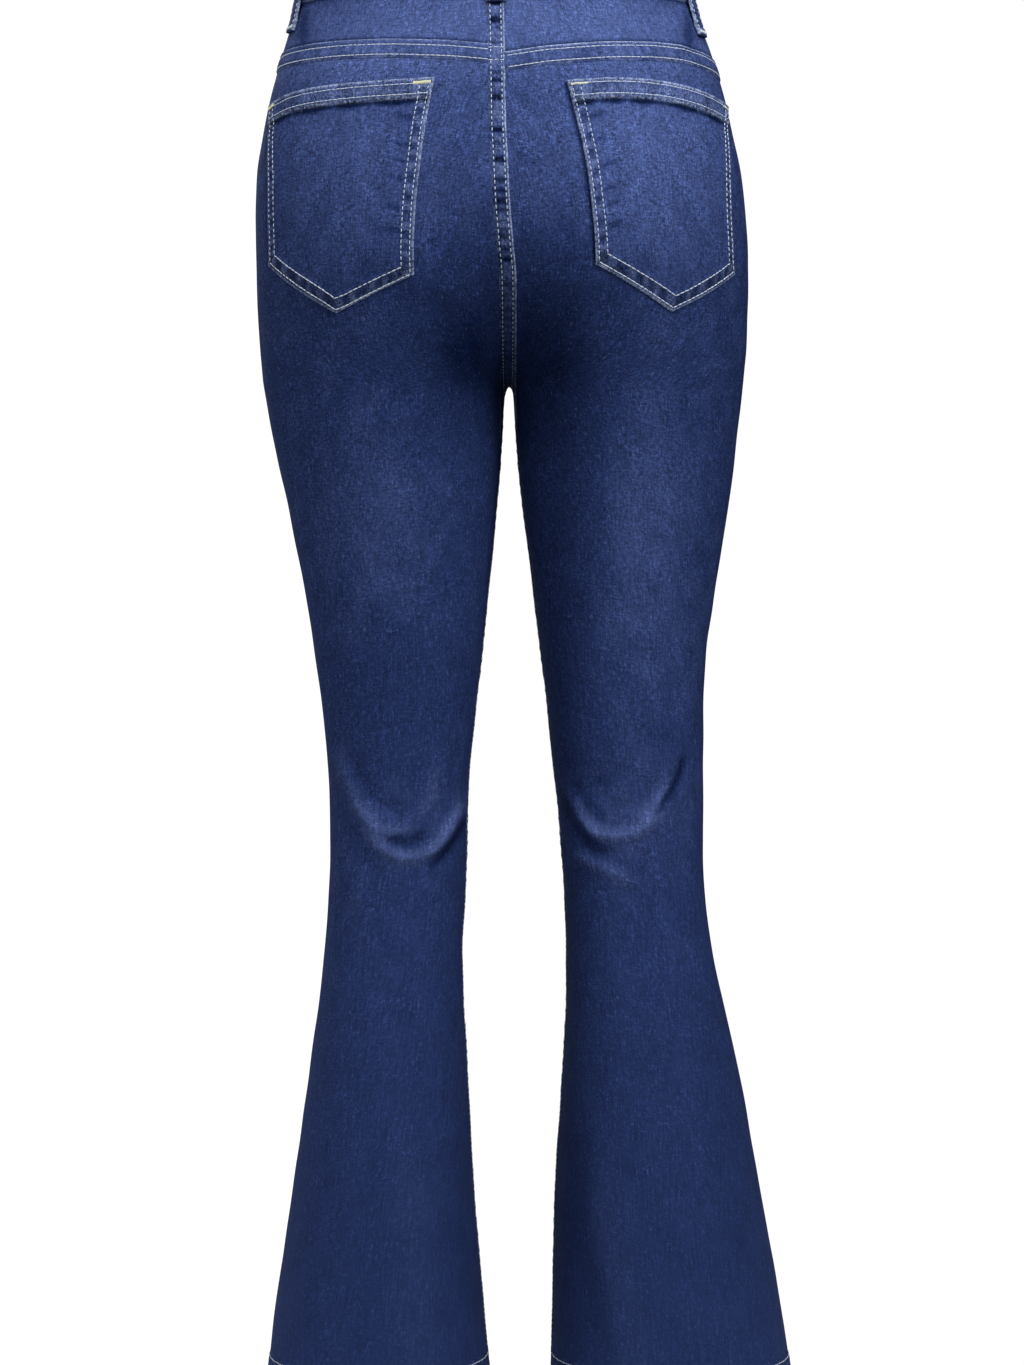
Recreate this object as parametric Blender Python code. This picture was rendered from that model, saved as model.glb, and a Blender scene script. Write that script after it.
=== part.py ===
"""High-waisted flared jeans, filled out as if worn: thin shells for every cut piece.

World axes: +Z up, the wearer faces -Y, the wearer's left is +X. The origin is the
centre of the waist ring. All sizes are in metres unless a table says millimetres.
"""
import math

import bmesh
import bpy
import numpy as np

# ---- driving dimensions ---------------------------------------------------------
MM = 0.001
CLOTH = 1.2 * MM              # stretch denim, one layer
GAP = 0.3 * MM                # free space between neighbouring pieces
BAND_TOP = 19.5 * MM          # waistband, upper edge
BAND_BOTTOM = -24.5 * MM      # waistband, lower edge
BAND_THICK = 3.0 * MM         # waistband, folded and interfaced
BAND_PROUD = 1.5 * MM         # how far the band stands out from the body cloth
BAND_LAP = math.radians(11.0)       # left end of the band past the centre front
BAND_UNDERLAP = math.radians(16.0)  # right end of the band, under the left one
BAND_STEP = 1.8 * MM          # each end moves out or in by this where they overlap
HEM_BOTTOM = -1066.0 * MM
HEM_DEPTH = 13.0 * MM
HEM_EXTRA = 1.8 * MM          # turned-up layers inside the leg opening
OUTSEAM_TURN = math.radians(5.0)   # side seam, turned this far towards the front
FLY_END = -172.0 * MM
FLY_LAP = 8.0 * MM            # left front past the centre line
FLY_FADE = 22.0 * MM
FLY_RISE = 2.2 * MM           # left front over the right one
FLY_TAIL = 30.0 * MM          # its lower end settles this far below the lap
SCOOP_WIDTH = 90.0 * MM       # front pocket opening along the band
SCOOP_DROP = 78.0 * MM        # front pocket opening down the side seam
SCOOP_TUCK = 13.0 * MM        # facing behind the opening's edge
SCOOP_RADIUS = 0.125          # body radius at the opening
FACING_CLEAR = 1.2 * MM       # facing behind the front's inner face
POCKET_HEM = 15.0 * MM
POCKET_CLEAR = 0.65 * MM      # under a patch pocket, so its flats clear the round seat
LOOP_WIDTH = 15.0 * MM
BUTTON_RADIUS = 8.5 * MM
ROUNDNESS = 2.15              # exponent of the oval leg and body sections
REACH = 0.30                  # longest ray from a leg's axis to its wall

# Sections from the waist to the hem. Distances from the centre of the waist, in mm:
# each leg's outer edge, centre line and inner edge, back and front of the body, the
# centre seam, and the width over which the two legs blend into one body.
SECTION_COLUMNS = ("z", "left_out", "left_mid", "left_in", "right_out", "right_mid",
                   "right_in", "back", "front", "middle", "blend")
SECTIONS = (
    (30, 139.0, 3.5, -132.0, 138.0, 3.5, -131.0, 83, -88, -1, 2),
    (0, 147.0, 3.0, -141.0, 146.0, 3.0, -140.0, 89, -91, -1, 3),
    (-31, 155.0, 4.5, -146.0, 155.5, 5.8, -144.0, 95, -95, -1, 6),
    (-62, 164.4, 10.7, -143.0, 166.7, 13.3, -140.0, 102, -99, -1.5, 10),
    (-93, 172.9, 19.5, -134.0, 175.9, 23.0, -130.0, 109, -102, -2, 18),
    (-124, 179.0, 29.0, -121.0, 182.9, 33.5, -116.0, 117, -104, -2.5, 28),
    (-155, 183.0, 38.0, -107.0, 189.0, 45.0, -99.0, 124, -105, -4, 38),
    (-186, 184.0, 46.8, -90.5, 192.1, 56.3, -79.5, 127, -105, -5.5, 44),
    (-216, 183.6, 54.8, -74.0, 193.7, 67.8, -58.0, 127, -104, -8, 42),
    (-242, 183.0, 62.0, -55.9, 193.7, 78.0, -35.5, 123, -102, -10.2, 34),
    (-266, 182.0, 69.5, -37.0, 193.1, 87.0, -16.2, 115.5, -100.2, -10.4, 25),
    (-287, 180.6, 75.0, -23.4, 192.3, 93.0, -2.6, 108.5, -98.8, -10.4, 18),
    (-297, 179.6, 77.3, -16.9, 191.6, 95.4, 3.9, 105, -98.2, -10.4, 15),
    (-304, 178.9, 78.8, -12.0, 191.1, 96.9, 8.8, 103, -97.8, -10.4, 13),
    (-310, 178.3, 79.9, -8.6, 190.6, 98.0, 12.2, 101.3, -97.4, -10.4, 12),
    (-317, 177.2, 81.0, -6.6, 189.8, 99.1, 14.2, 99.4, -97, -10.4, 12),
    (-327, 175.5, 82.2, -5.6, 188.6, 100.2, 15.2, 96.8, -96, -10.4, 12),
    (-345, 172.5, 83.0, -5.1, 186.4, 101.2, 15.9, 93, -94, -10.4, 12),
    (-363, 169.0, 82.2, -4.2, 184.4, 100.9, 17.0, 89.5, -92, -10.4, 12),
    (-401, 160.5, 79.8, -1.0, 179.8, 100.2, 20.6, 84, -87, -10.4, 12),
    (-440, 152.8, 77.8, 2.7, 173.6, 99.7, 25.8, 78, -82, -10, 12),
    (-478, 145.1, 75.8, 6.5, 167.5, 99.0, 30.4, 73, -77, -10, 12),
    (-517, 139.0, 74.7, 10.4, 161.9, 98.5, 35.0, 69, -72, -10, 12),
    (-555, 133.6, 74.3, 15.0, 159.9, 99.8, 39.7, 66, -68, -10, 12),
    (-594, 129.7, 74.3, 18.9, 159.6, 101.5, 43.5, 64, -65, -10, 12),
    (-632, 127.4, 74.5, 21.6, 159.4, 103.8, 48.1, 63, -62, -10, 12),
    (-671, 126.7, 74.7, 22.6, 159.2, 105.2, 51.2, 64, -60, -10, 12),
    (-709, 128.2, 76.0, 23.9, 161.3, 107.4, 53.5, 68, -60, -10, 12),
    (-748, 131.3, 78.6, 25.8, 166.4, 110.7, 54.9, 74, -62, -10, 12),
    (-786, 135.1, 80.0, 25.0, 174.4, 114.7, 54.9, 81, -66, -10, 12),
    (-825, 140.5, 81.7, 22.9, 183.4, 118.1, 52.7, 87, -71, -10, 12),
    (-863, 145.9, 83.2, 20.6, 191.1, 120.8, 50.4, 93, -76, -10, 12),
    (-940, 156.7, 86.5, 16.4, 204.6, 125.3, 46.0, 104, -85, -10, 12),
    (-1017, 168.2, 89.0, 9.8, 218.3, 131.2, 44.2, 112, -93, -10, 12),
    (-1070, 174.2, 89.5, 4.8, 226.6, 135.0, 43.4, 116, -97, -10, 12),
)

# Yoke seam, height in mm by share of the way from the side seam to the seat seam.
YOKE_COLUMNS = ("share", "left", "right")
YOKE_SEAM = (
    (0.00, -60.5, -67.5),
    (0.15, -59.5, -64.5),
    (0.30, -59.8, -60.8),
    (0.42, -60.2, -61.2),
    (0.60, -61.5, -63.8),
    (0.80, -63.7, -68.0),
    (1.00, -67.5, -74.0),
)

# Rows of the leg panels below the crotch: down to a height, at a spacing, in mm; and
# their columns, as shares of the way from the side seam to the inner seam.
BACK_STEPS = ((-584, 36), (-704, 7), (-1040, 38))
FRONT_STEPS = ((-590, 45), (-690, 20), (-1040, 50))
BACK_SHARES = np.array((0, .05, .10, .155, .21, .27, .335, .40, .465, .53, .60, .67, .74,
                        .81, .88, .945, 1))
FRONT_SHARES = np.array((0, .05, .10, .16, .22, .29, .37, .46, .56, .67, .78, .88, .95, 1))
SCOOP_ROWS = np.array((0, .2, .36, .5, .62, .72, .81, .88, .945, 1))
FACING_SHARES = np.array((0, .12, .25, .38, .52, .68, .84, 1))

# Folds: a curve through four points (x and z), height out of the cloth (minus for a
# trough) and half width above and below the curve, in mm.
FOLD_COLUMNS = ("side", "face", "ax", "az", "bx", "bz", "cx", "cz", "dx", "dz",
                "height", "above", "below")
FOLDS = (
    (1, 1, 122, -586, 109, -624, 88, -649, 59, -645, 3.6, 6.0, 5.0),
    (1, 1, 60.5, -645, 50.5, -634, 46, -619, 43, -602, 1.6, 6, 6),
    (1, 1, 95, -648, 80.5, -670, 49, -669, 21, -616, 3.8, 6.2, 4.8),
    (1, 1, 79, -657, 71, -661, 61, -661, 51, -653, -2.6, 4, 3.5),
    (1, 1, 53, -681, 39.5, -672, 29, -659, 21, -639, -2.4, 3.5, 6),
    (1, 1, 121, -630, 110, -655, 97, -676, 78, -690, -1.5, 5, 9),
    (1, 1, 112, -592, 98, -622, 80, -637, 60, -634, -1.5, 8, 4),
    (-1, 1, -48, -606, -69.5, -648, -110, -652, -137, -602, 3.8, 6.0, 4.6),
    (-1, 1, -50, -622, -63, -650, -76, -666, -90, -670, -2.8, 3.4, 5.0),
    (-1, 1, -58, -669, -71.5, -678, -88, -685, -117, -698, 2.4, 5, 6),
    (-1, 1, -143, -594, -137, -617, -127, -634, -117, -648, -2.8, 2.6, 3.6),
    (-1, 1, -48, -600, -62, -612, -80, -617, -98, -604, -1.4, 8, 8),
    (-1, 1, -66, -604, -84, -632, -104, -632, -120, -600, -1.6, 9, 6),
    (-1, 1, -58, -836, -65, -955, -76, -1004, -86, -1090, -1.8, 6, 14),
    (-1, 1, -78, -880, -88, -970, -100, -1030, -108, -1100, 0.9, 15, 18),
    (-1, 1, -160, -760, -172, -850, -184, -940, -192, -1040, -1.4, 16, 18),
    (1, 1, 66, -860, 62, -930, 58, -1000, 56, -1090, 0.7, 18, 18),
    (1, 1, 100, -880, 106, -950, 112, -1010, 118, -1090, -0.7, 18, 18),
    (1, 1, 8, -282, 30, -272, 66, -252, 104, -240, -1.6, 12, 14),
    (-1, 1, -30, -284, -54, -272, -90, -250, -128, -236, -1.6, 12, 14),
    (1, -1, 112, -612, 92, -634, 62, -634, 42, -616, 1.8, 10, 8),
    (1, -1, 106, -640, 86, -656, 60, -656, 42, -636, -1.6, 9, 9),
    (-1, -1, -66, -610, -84, -634, -112, -636, -134, -612, 1.8, 10, 8),
    (-1, -1, -64, -640, -84, -660, -112, -658, -130, -640, -1.6, 9, 9),
    (1, -1, 84, -850, 86, -920, 90, -1000, 94, -1090, 2.0, 17, 17),
    (-1, -1, -122, -850, -126, -920, -132, -1000, -138, -1090, 2.0, 17, 17),
    (1, -1, 4, -292, 30, -280, 62, -266, 96, -258, -1.3, 9, 11),
    (-1, -1, -26, -292, -52, -280, -84, -266, -118, -258, -1.3, 9, 11),
)
FOLD_SPREAD = 5.0             # mm by which the mesh's spacing widens each fold

# Back pockets, mm: tape distance from the seat seam and height of each corner; bow
# is how far each upright edge curves between its corners.
POCKET_COLUMNS = ("side", "top_in", "top_out", "top_in_z", "top_mid_z", "top_out_z",
                  "low_in", "point", "low_out", "low_in_z", "point_z", "low_out_z",
                  "bow_in", "bow_out")
POCKETS = (
    (1, 46.5, 202.5, -93.0, -93.5, -102.0,
     70.5, 134.0, 200.5, -240.5, -267.5, -228.0, 2.0, -3.0),
    (-1, 51.0, 207.5, -95.5, -90.5, -101.0,
     65.0, 126.5, 190.0, -233.0, -266.5, -235.0, 6.0, -5.0),
)

# Belt loops: tape distance behind (+) or before (-) the side seam, or from the
# centre back, and the lower end of each, in mm.
LOOP_COLUMNS = ("name", "side", "face", "from_centre", "lower_end")
LOOPS = (
    ("belt_loop_back", 1, 1, 0.0, -35.0),
    ("belt_loop_side_left", 1, 1, 169.0, -46.0),
    ("belt_loop_side_right", -1, 1, 163.0, -50.0),
    ("belt_loop_front_left", 1, -1, 92.0, -38.0),
    ("belt_loop_front_right", -1, -1, 92.0, -38.0),
)

# Belt loop from its top to its lower end: share of its length, clear height over the
# body cloth and thickness, in mm.
LOOP_PROFILE = ((0.00, 1.9, 3.0), (0.12, 1.9, 3.0), (0.17, 2.2, 1.8), (0.40, 2.9, 1.8),
                (0.62, 2.9, 1.8), (0.75, 2.3, 1.8), (0.82, 1.9, 1.8), (0.88, 0.5, 3.0),
                (1.00, 0.4, 3.0))
LOOP_TOP = 18.5 * MM
LOOP_LEVEL = -8.0 * MM        # where the loops' distances are taken

# Button profile: share of its radius and height in mm from its back to its face.
BUTTON_PROFILE = ((0.60, 0.0), (0.96, 0.9), (1.00, 1.6), (0.94, 2.5), (0.80, 2.9),
                  (0.66, 2.5), (0.48, 2.4))
BUTTON_CENTRE = 2.9 * MM

MATERIALS = {
    "denim_leg": ((0.030, 0.050, 0.135), 0.86, 0.0),
    "denim_seat": ((0.045, 0.068, 0.170), 0.86, 0.0),
    "denim_pocket": ((0.036, 0.056, 0.145), 0.88, 0.0),
    "denim_trim": ((0.026, 0.044, 0.120), 0.88, 0.0),
    "button_metal": ((0.42, 0.40, 0.37), 0.35, 1.0),
}


# ---- tables ---------------------------------------------------------------------
def named(columns, rows):
    """Rows of a table as dictionaries."""
    return [dict(zip(columns, row)) for row in rows]


def slopes(x, v):
    """Slopes of a smooth curve through a column that never overshoots it."""
    step = np.diff(x)
    rate = np.diff(v) / step
    before, after = rate[:-1], rate[1:]
    near, far = 2 * step[1:] + step[:-1], step[1:] + 2 * step[:-1]
    same = before * after > 0
    safe_before = np.where(same, before, 1.0)
    safe_after = np.where(same, after, 1.0)
    inner = np.where(same, (near + far) / (near / safe_before + far / safe_after), 0.0)
    return np.concatenate(([rate[0]], inner, [rate[-1]]))


SECTION = {name: np.array([row[i] for row in SECTIONS], float) * MM
           for i, name in enumerate(SECTION_COLUMNS)}
DEPTH = -SECTION["z"]
SLOPE = {name: slopes(DEPTH, SECTION[name]) for name in SECTION_COLUMNS[1:]}


def column(name, z):
    """A column of the section table at any height."""
    depth = np.clip(-np.asarray(z, float), DEPTH[0], DEPTH[-1])
    i = np.clip(np.searchsorted(DEPTH, depth) - 1, 0, len(DEPTH) - 2)
    span = DEPTH[i + 1] - DEPTH[i]
    t = (depth - DEPTH[i]) / span
    value, slope = SECTION[name], SLOPE[name]
    start = (1 + 2 * t) * (1 - t) ** 2 * value[i] + t * (1 - t) ** 2 * span * slope[i]
    end = t * t * (3 - 2 * t) * value[i + 1] + t * t * (t - 1) * span * slope[i + 1]
    return start + end


def yoke_height(side, share):
    """Height of the yoke seam, by share of the way to the seat seam."""
    i = 1 if side > 0 else 2
    return np.interp(share, [r[0] for r in YOKE_SEAM], [r[i] for r in YOKE_SEAM]) * MM


def soft(t):
    """Smooth step from 0 to 1."""
    t = np.clip(t, 0.0, 1.0)
    return t * t * (3 - 2 * t)


# ---- body form ------------------------------------------------------------------
def leg_axis(side, z):
    """A leg's centre line at a height."""
    name = "left_mid" if side > 0 else "right_mid"
    return side * column(name, z), 0.3 * (column("back", z) + column("front", z))


def leg_field(side, x, y, z):
    """Distance-like field of one leg: negative inside, zero on the cloth."""
    name = "left" if side > 0 else "right"
    cx, cy = leg_axis(side, z)
    outer = column(name + "_out", z) - side * cx
    inner = side * cx - column(name + "_in", z)
    half = np.where(side * (x - cx) > 0, outer, inner)
    depth = np.where(y > cy, column("back", z) - cy, cy - column("front", z))
    oval = np.abs((x - cx) / half) ** ROUNDNESS + np.abs((y - cy) / depth) ** ROUNDNESS
    return (oval ** (1 / ROUNDNESS) - 1) * np.sqrt(half * depth)


def field(x, y, z):
    """Both legs, blended into one body."""
    left, right = leg_field(1, x, y, z), leg_field(-1, x, y, z)
    blend = column("blend", z)
    overlap = np.maximum(blend - np.abs(left - right), 0) / blend
    return np.minimum(left, right) - overlap * overlap * blend / 4


def outward(p):
    """Unit normals of the body form at points on it."""
    e = 0.4 * MM
    x, y, z = p[..., 0], p[..., 1], p[..., 2]
    n = np.stack((field(x + e, y, z) - field(x - e, y, z),
                  field(x, y + e, z) - field(x, y - e, z),
                  field(x, y, z + e) - field(x, y, z - e)), -1)
    return n / np.linalg.norm(n, axis=-1, keepdims=True)


def cast(x, y, z, dx, dy, dz, reach):
    """Points where rays from inside the body leave it."""
    low = np.zeros_like(reach)
    high = np.array(reach)
    for _ in range(30):
        mid = (low + high) / 2
        outside = field(x + dx * mid, y + dy * mid, z + dz * mid) > 0
        high = np.where(outside, mid, high)
        low = np.where(outside, low, mid)
    return np.stack((x + dx * low, y + dy * low, z + dz * low), -1)


def wall(side, face, angle, z, lap=0.0):
    """Body form by height and angle about a leg's axis, from the outer side round."""
    angle, z, lap = np.broadcast_arrays(angle, z, lap)
    cx, cy = leg_axis(side, z)
    dx, dy = side * np.cos(angle), face * np.sin(angle)
    plane = column("middle", z) - side * lap
    to_plane = (plane - cx) / np.where(np.abs(dx) < 1e-6, 1e-6, dx)
    reach = np.where(to_plane > 0, np.minimum(to_plane, REACH), REACH)
    return cast(cx, cy, z, dx, dy, 0.0, reach)


def crotch_height():
    """Lowest height at which the two legs are still one body."""
    low, high = -0.33, -0.29
    for _ in range(40):
        z = (low + high) / 2
        inside = field(column("middle", z), leg_axis(1, z)[1], z) < 0
        low, high = (low, z) if inside else (z, high)
    return high


CROTCH = crotch_height()


def fly_lap(side, face, z):
    """How far a front laps over the centre line at a height."""
    if side < 0 or face > 0:
        return 0.0 * z
    return FLY_LAP * soft((z - FLY_END) / FLY_FADE)


def end_angle(side, face, z, lap=0.0):
    """Angle of the seat or front seam about a leg's axis, and the seam's depth."""
    x = column("middle", z) - side * lap
    cx, cy = leg_axis(side, z)
    y = cast(x, cy, z, 0.0, float(face), 0.0, np.full(z.shape, 0.2))[..., 1]
    return np.arctan2(face * (y - cy), side * (x - cx)), y


def centre_seam(side, face, top, shares):
    """Heights and end angles at shares of the way down the seat or front seam."""
    turn = CROTCH + 40 * MM
    z = np.linspace(top, turn, 120)
    _, y = end_angle(side, face, z, fly_lap(side, face, z))
    dip = np.linspace(0, math.pi / 2, 160)[1:]
    depth = float(leg_axis(side, turn)[1])
    below = cast(float(column("middle", turn)), depth, turn, 0.0, face * np.cos(dip),
                 -np.sin(dip), np.full(dip.shape, 0.2))
    y = np.concatenate((y, below[:, 1]))
    z = np.concatenate((z, below[:, 2]))
    length = np.concatenate(([0], np.cumsum(np.hypot(np.diff(y), np.diff(z)))))
    y = np.interp(shares * length[-1], length, y)
    z = np.interp(shares * length[-1], length, z)
    cx, cy = leg_axis(side, z)
    x = column("middle", z) - side * fly_lap(side, face, z)
    angle = np.arctan2(face * (y - cy), side * (x - cx))
    return z, np.where(shares == 1, math.pi, angle)


def tape_angle(side, face, across, z):
    """Angle of the point a tape distance from the centre seam, level round the body."""
    across, z = np.broadcast_arrays(across, z)
    level = z[..., None]
    end, _ = end_angle(side, face, level)
    start = -face * OUTSEAM_TURN
    angle = start + np.linspace(1, 0, 161) * (end - start)
    p = wall(side, face, angle, level)
    step = np.linalg.norm(np.diff(p, axis=-2), axis=-1)
    length = np.concatenate((np.zeros(level.shape), np.cumsum(step, -1)), -1)
    found = [np.interp(a, row, turn) for a, row, turn in
             zip(across.ravel(), length.reshape(-1, 161), angle.reshape(-1, 161))]
    return np.reshape(found, z.shape)


def by_tape(side, face, across, z):
    """Points of the body a tape distance from the centre seam."""
    return wall(side, face, tape_angle(side, face, across, z), z)


def fold_curve(fold, t):
    """Points of a fold's curve, through its four points."""
    weights = (-(3 * t - 1) * (3 * t - 2) * (t - 1) / 2, 9 * t * (3 * t - 2) * (t - 1) / 2,
               -9 * t * (3 * t - 1) * (t - 1) / 2, t * (3 * t - 1) * (3 * t - 2) / 2)
    x = sum(w * fold[c] for w, c in zip(weights, ("ax", "bx", "cx", "dx"))) * MM
    z = sum(w * fold[c] for w, c in zip(weights, ("az", "bz", "cz", "dz"))) * MM
    return x, z


def relief(side, face, p, angle):
    """Height of the folds at points of a panel, dying out at its long seams."""
    x, z = p[..., 0], p[..., 2]
    lift = np.zeros(x.shape)
    t = np.linspace(0, 1, 33)
    for fold in named(FOLD_COLUMNS, FOLDS):
        if (fold["side"], fold["face"]) != (side, face):
            continue
        curve_x, curve_z = fold_curve(fold, t)
        off_x, off_z = x[..., None] - curve_x, z[..., None] - curve_z
        i = (off_x ** 2 + off_z ** 2).argmin(-1)
        off_x = np.take_along_axis(off_x, i[..., None], -1)[..., 0]
        off_z = np.take_along_axis(off_z, i[..., None], -1)[..., 0]
        k = np.clip(i, 1, len(t) - 2)
        way_x, way_z = curve_x[k + 1] - curve_x[k - 1], curve_z[k + 1] - curve_z[k - 1]
        length = np.hypot(way_x, way_z)
        across = (way_x * off_z - way_z * off_x) / length
        past = np.where((i == 0) | (i == len(t) - 1),
                        (way_x * off_x + way_z * off_z) / length, 0.0)
        narrow = np.where(across * np.sign(way_x) > 0, fold["above"], fold["below"])
        width = np.hypot(narrow, FOLD_SPREAD) * MM
        ends = soft(4.0 * t[i] + 0.12) * soft(4.0 * (1 - t[i]) + 0.12)
        height = 0.85 * fold["height"] * MM
        lift += height * np.exp(-(across / width) ** 2 - (past / width) ** 2) * ends
    return lift * soft(3.5 * np.sin(angle))


# ---- solids ---------------------------------------------------------------------
def material(slot):
    """The shared material of a slot."""
    found = bpy.data.materials.get(slot)
    if found:
        return found
    colour, rough, metal = MATERIALS[slot]
    made = bpy.data.materials.new(slot)
    made.use_nodes = True
    made.diffuse_color = (*colour, 1.0)
    shader = made.node_tree.nodes["Principled BSDF"]
    shader.inputs["Base Color"].default_value = (*colour, 1.0)
    shader.inputs["Roughness"].default_value = rough
    shader.inputs["Metallic"].default_value = metal
    return made


def solid(name, vertices, faces, slot, crease=50.0):
    """A named closed mesh object with its material."""
    mesh = bpy.data.meshes.new(name)
    mesh.from_pydata([tuple(v) for v in vertices], [], faces)
    form = bmesh.new()
    form.from_mesh(mesh)
    bmesh.ops.recalc_face_normals(form, faces=form.faces)
    form.to_mesh(mesh)
    form.free()
    mesh.shade_smooth()
    mesh.set_sharp_from_angle(angle=math.radians(crease))
    mesh.materials.append(material(slot))
    made = bpy.data.objects.new(name, mesh)
    bpy.context.scene.collection.objects.link(made)
    return made


def shell(name, outer, inner, slot):
    """Close an outer and an inner grid of points into one thin solid."""
    rows, cols = outer.shape[:2]
    count = rows * cols
    vertices = np.concatenate((outer.reshape(-1, 3), inner.reshape(-1, 3)))
    at = np.arange(count).reshape(rows, cols)
    faces = []
    for i in range(rows - 1):
        for j in range(cols - 1):
            quad = (at[i, j], at[i, j + 1], at[i + 1, j + 1], at[i + 1, j])
            faces.append(tuple(int(k) for k in quad))
            faces.append(tuple(int(k) + count for k in reversed(quad)))
    rim = [*at[0, :], *at[1:, -1], *at[-1, -2::-1], *at[-2:0:-1, 0]]
    for a, b in zip(rim, rim[1:] + rim[:1]):
        faces.append((int(b), int(a), int(a) + count, int(b) + count))
    return solid(name, vertices, faces, slot)


# ---- leg panels -----------------------------------------------------------------
def lower_rows(steps):
    """Heights below the crotch area down to the hem, from (height, spacing) steps."""
    heights = [CROTCH - 56 * MM]
    for until, spacing in steps:
        count = max(1, round((heights[-1] - until * MM) / (spacing * MM)))
        heights += list(np.linspace(heights[-1], until * MM, count + 1)[1:])
    return heights[1:]


def panel_grid(side, face, top, down, steps, shares):
    """Heights and end angles of a leg panel: rows down the leg, columns inwards."""
    z_in, end = centre_seam(side, face, top(1.0), down)
    z_out = top(0.0) + down * (CROTCH - 15 * MM - top(0.0))
    near_in = CROTCH - np.array((1, 3.5, 8, 17, 32, 52)) * MM
    near_out = CROTCH - np.array((18, 23, 28, 35, 44, 56)) * MM
    rest = np.array(lower_rows(steps) + [HEM_BOTTOM + HEM_DEPTH, HEM_BOTTOM])
    z_in = np.concatenate((z_in, near_in, rest))
    z_out = np.concatenate((z_out, near_out, rest))
    end = np.concatenate((end, np.full(len(near_in) + len(rest), math.pi)))
    u = shares[None, :]
    z = z_in[:, None] + (z_out - z_in)[:, None] * (1 - u)
    shift = top(shares) - z[0]
    z = z + shift[None, :] * np.array([0.55 ** i for i in range(len(z_in))])[:, None]
    return z, end


def open_edges(p, side, face, above):
    """Draw a panel's seam edges back by half the gap on each side."""
    p = p.copy()
    p[:, 0, 1] += face * GAP / 2
    p[above:, -1, 1] += face * GAP / 2
    p[:above + 1, -1, 0] += side * GAP / 2
    return p


def thickness(z):
    """Cloth thickness: one layer, more in the turned-up hem."""
    return CLOTH + HEM_EXTRA * soft((HEM_BOTTOM + HEM_DEPTH + 1 * MM - z) / (1 * MM))


def back_panel(side):
    """Back leg from the yoke seam to the hem."""
    def top(share):
        return yoke_height(side, share) - GAP / 2

    down = np.linspace(0, 1, 14)
    z, end = panel_grid(side, 1, top, down, BACK_STEPS, BACK_SHARES)
    angle = -OUTSEAM_TURN + BACK_SHARES[None, :] * (end[:, None] + OUTSEAM_TURN)
    p = wall(side, 1, angle, z)
    n = outward(p)
    lift = relief(side, 1, p, angle)
    p = open_edges(p, side, 1, len(down) - 1)
    name = "left" if side > 0 else "right"
    shell("back_" + name, p + n * lift[..., None],
          p + n * (lift - thickness(z))[..., None], "denim_leg")


def scoop(z):
    """Distance of the front pocket's edge from the side seam at a height."""
    t = np.clip((BAND_BOTTOM - z) / SCOOP_DROP, 0, 1)
    return SCOOP_WIDTH * (1 - t ** 1.8)


def front_panel(side):
    """Front leg from the waistband to the hem, cut away at the pocket opening."""
    def top(share):
        return BAND_BOTTOM - GAP + 0.0 * share

    down = np.concatenate((0.26 * SCOOP_ROWS, np.linspace(0.26, 1, 10)[1:]))
    z, end = panel_grid(side, -1, top, down, FRONT_STEPS, FRONT_SHARES)
    start = OUTSEAM_TURN + scoop(z[:, :1]) / SCOOP_RADIUS
    angle = start + FRONT_SHARES[None, :] * (end[:, None] - start)
    lap = fly_lap(side, -1, z)
    p = wall(side, -1, angle, z, lap)
    n = outward(p)
    lift = relief(side, -1, p, angle)
    if side > 0:
        from_centre = (p[..., 0] - column("middle", z)) / MM
        across = soft((17 - from_centre) / 9)
        lift += FLY_RISE * across * soft((z - FLY_END + FLY_TAIL) / FLY_FADE + 1)
    p = open_edges(p, side, -1, len(down) - 1)
    name = "left" if side > 0 else "right"
    shell("front_" + name, p + n * lift[..., None],
          p + n * (lift - thickness(z))[..., None], "denim_leg")


# ---- seat, pockets and waist ----------------------------------------------------
def yoke(side):
    """Shaped piece between the waistband and the back leg."""
    down = np.linspace(0, 1, 5)[:, None]
    z = (BAND_BOTTOM - GAP) * (1 - down)
    z = z + (yoke_height(side, BACK_SHARES)[None, :] + GAP / 2) * down
    end, _ = end_angle(side, 1, z)
    angle = -OUTSEAM_TURN + BACK_SHARES[None, :] * (end + OUTSEAM_TURN)
    p = wall(side, 1, angle, z)
    n = outward(p)
    p = open_edges(p, side, 1, len(down))
    shell("yoke_left" if side > 0 else "yoke_right", p, p - n * CLOTH, "denim_seat")


def pocket_facing(side):
    """Side piece that shows in the scooped front pocket opening."""
    down = np.linspace(0, 1, 7)[:, None]
    z = BAND_BOTTOM - GAP - down * (SCOOP_DROP + SCOOP_TUCK)
    z = z + 0.0 * FACING_SHARES[None, :]
    end = OUTSEAM_TURN + (scoop(z) + SCOOP_TUCK) / SCOOP_RADIUS
    angle = OUTSEAM_TURN + FACING_SHARES[None, :] * (end - OUTSEAM_TURN)
    p = wall(side, -1, angle, z)
    n = outward(p)
    p[:, 0, 1] -= GAP / 2
    name = "front_pocket_facing_" + ("left" if side > 0 else "right")
    p = p - n * (CLOTH + FACING_CLEAR)
    shell(name, p, p - n * CLOTH, "denim_leg")


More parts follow.
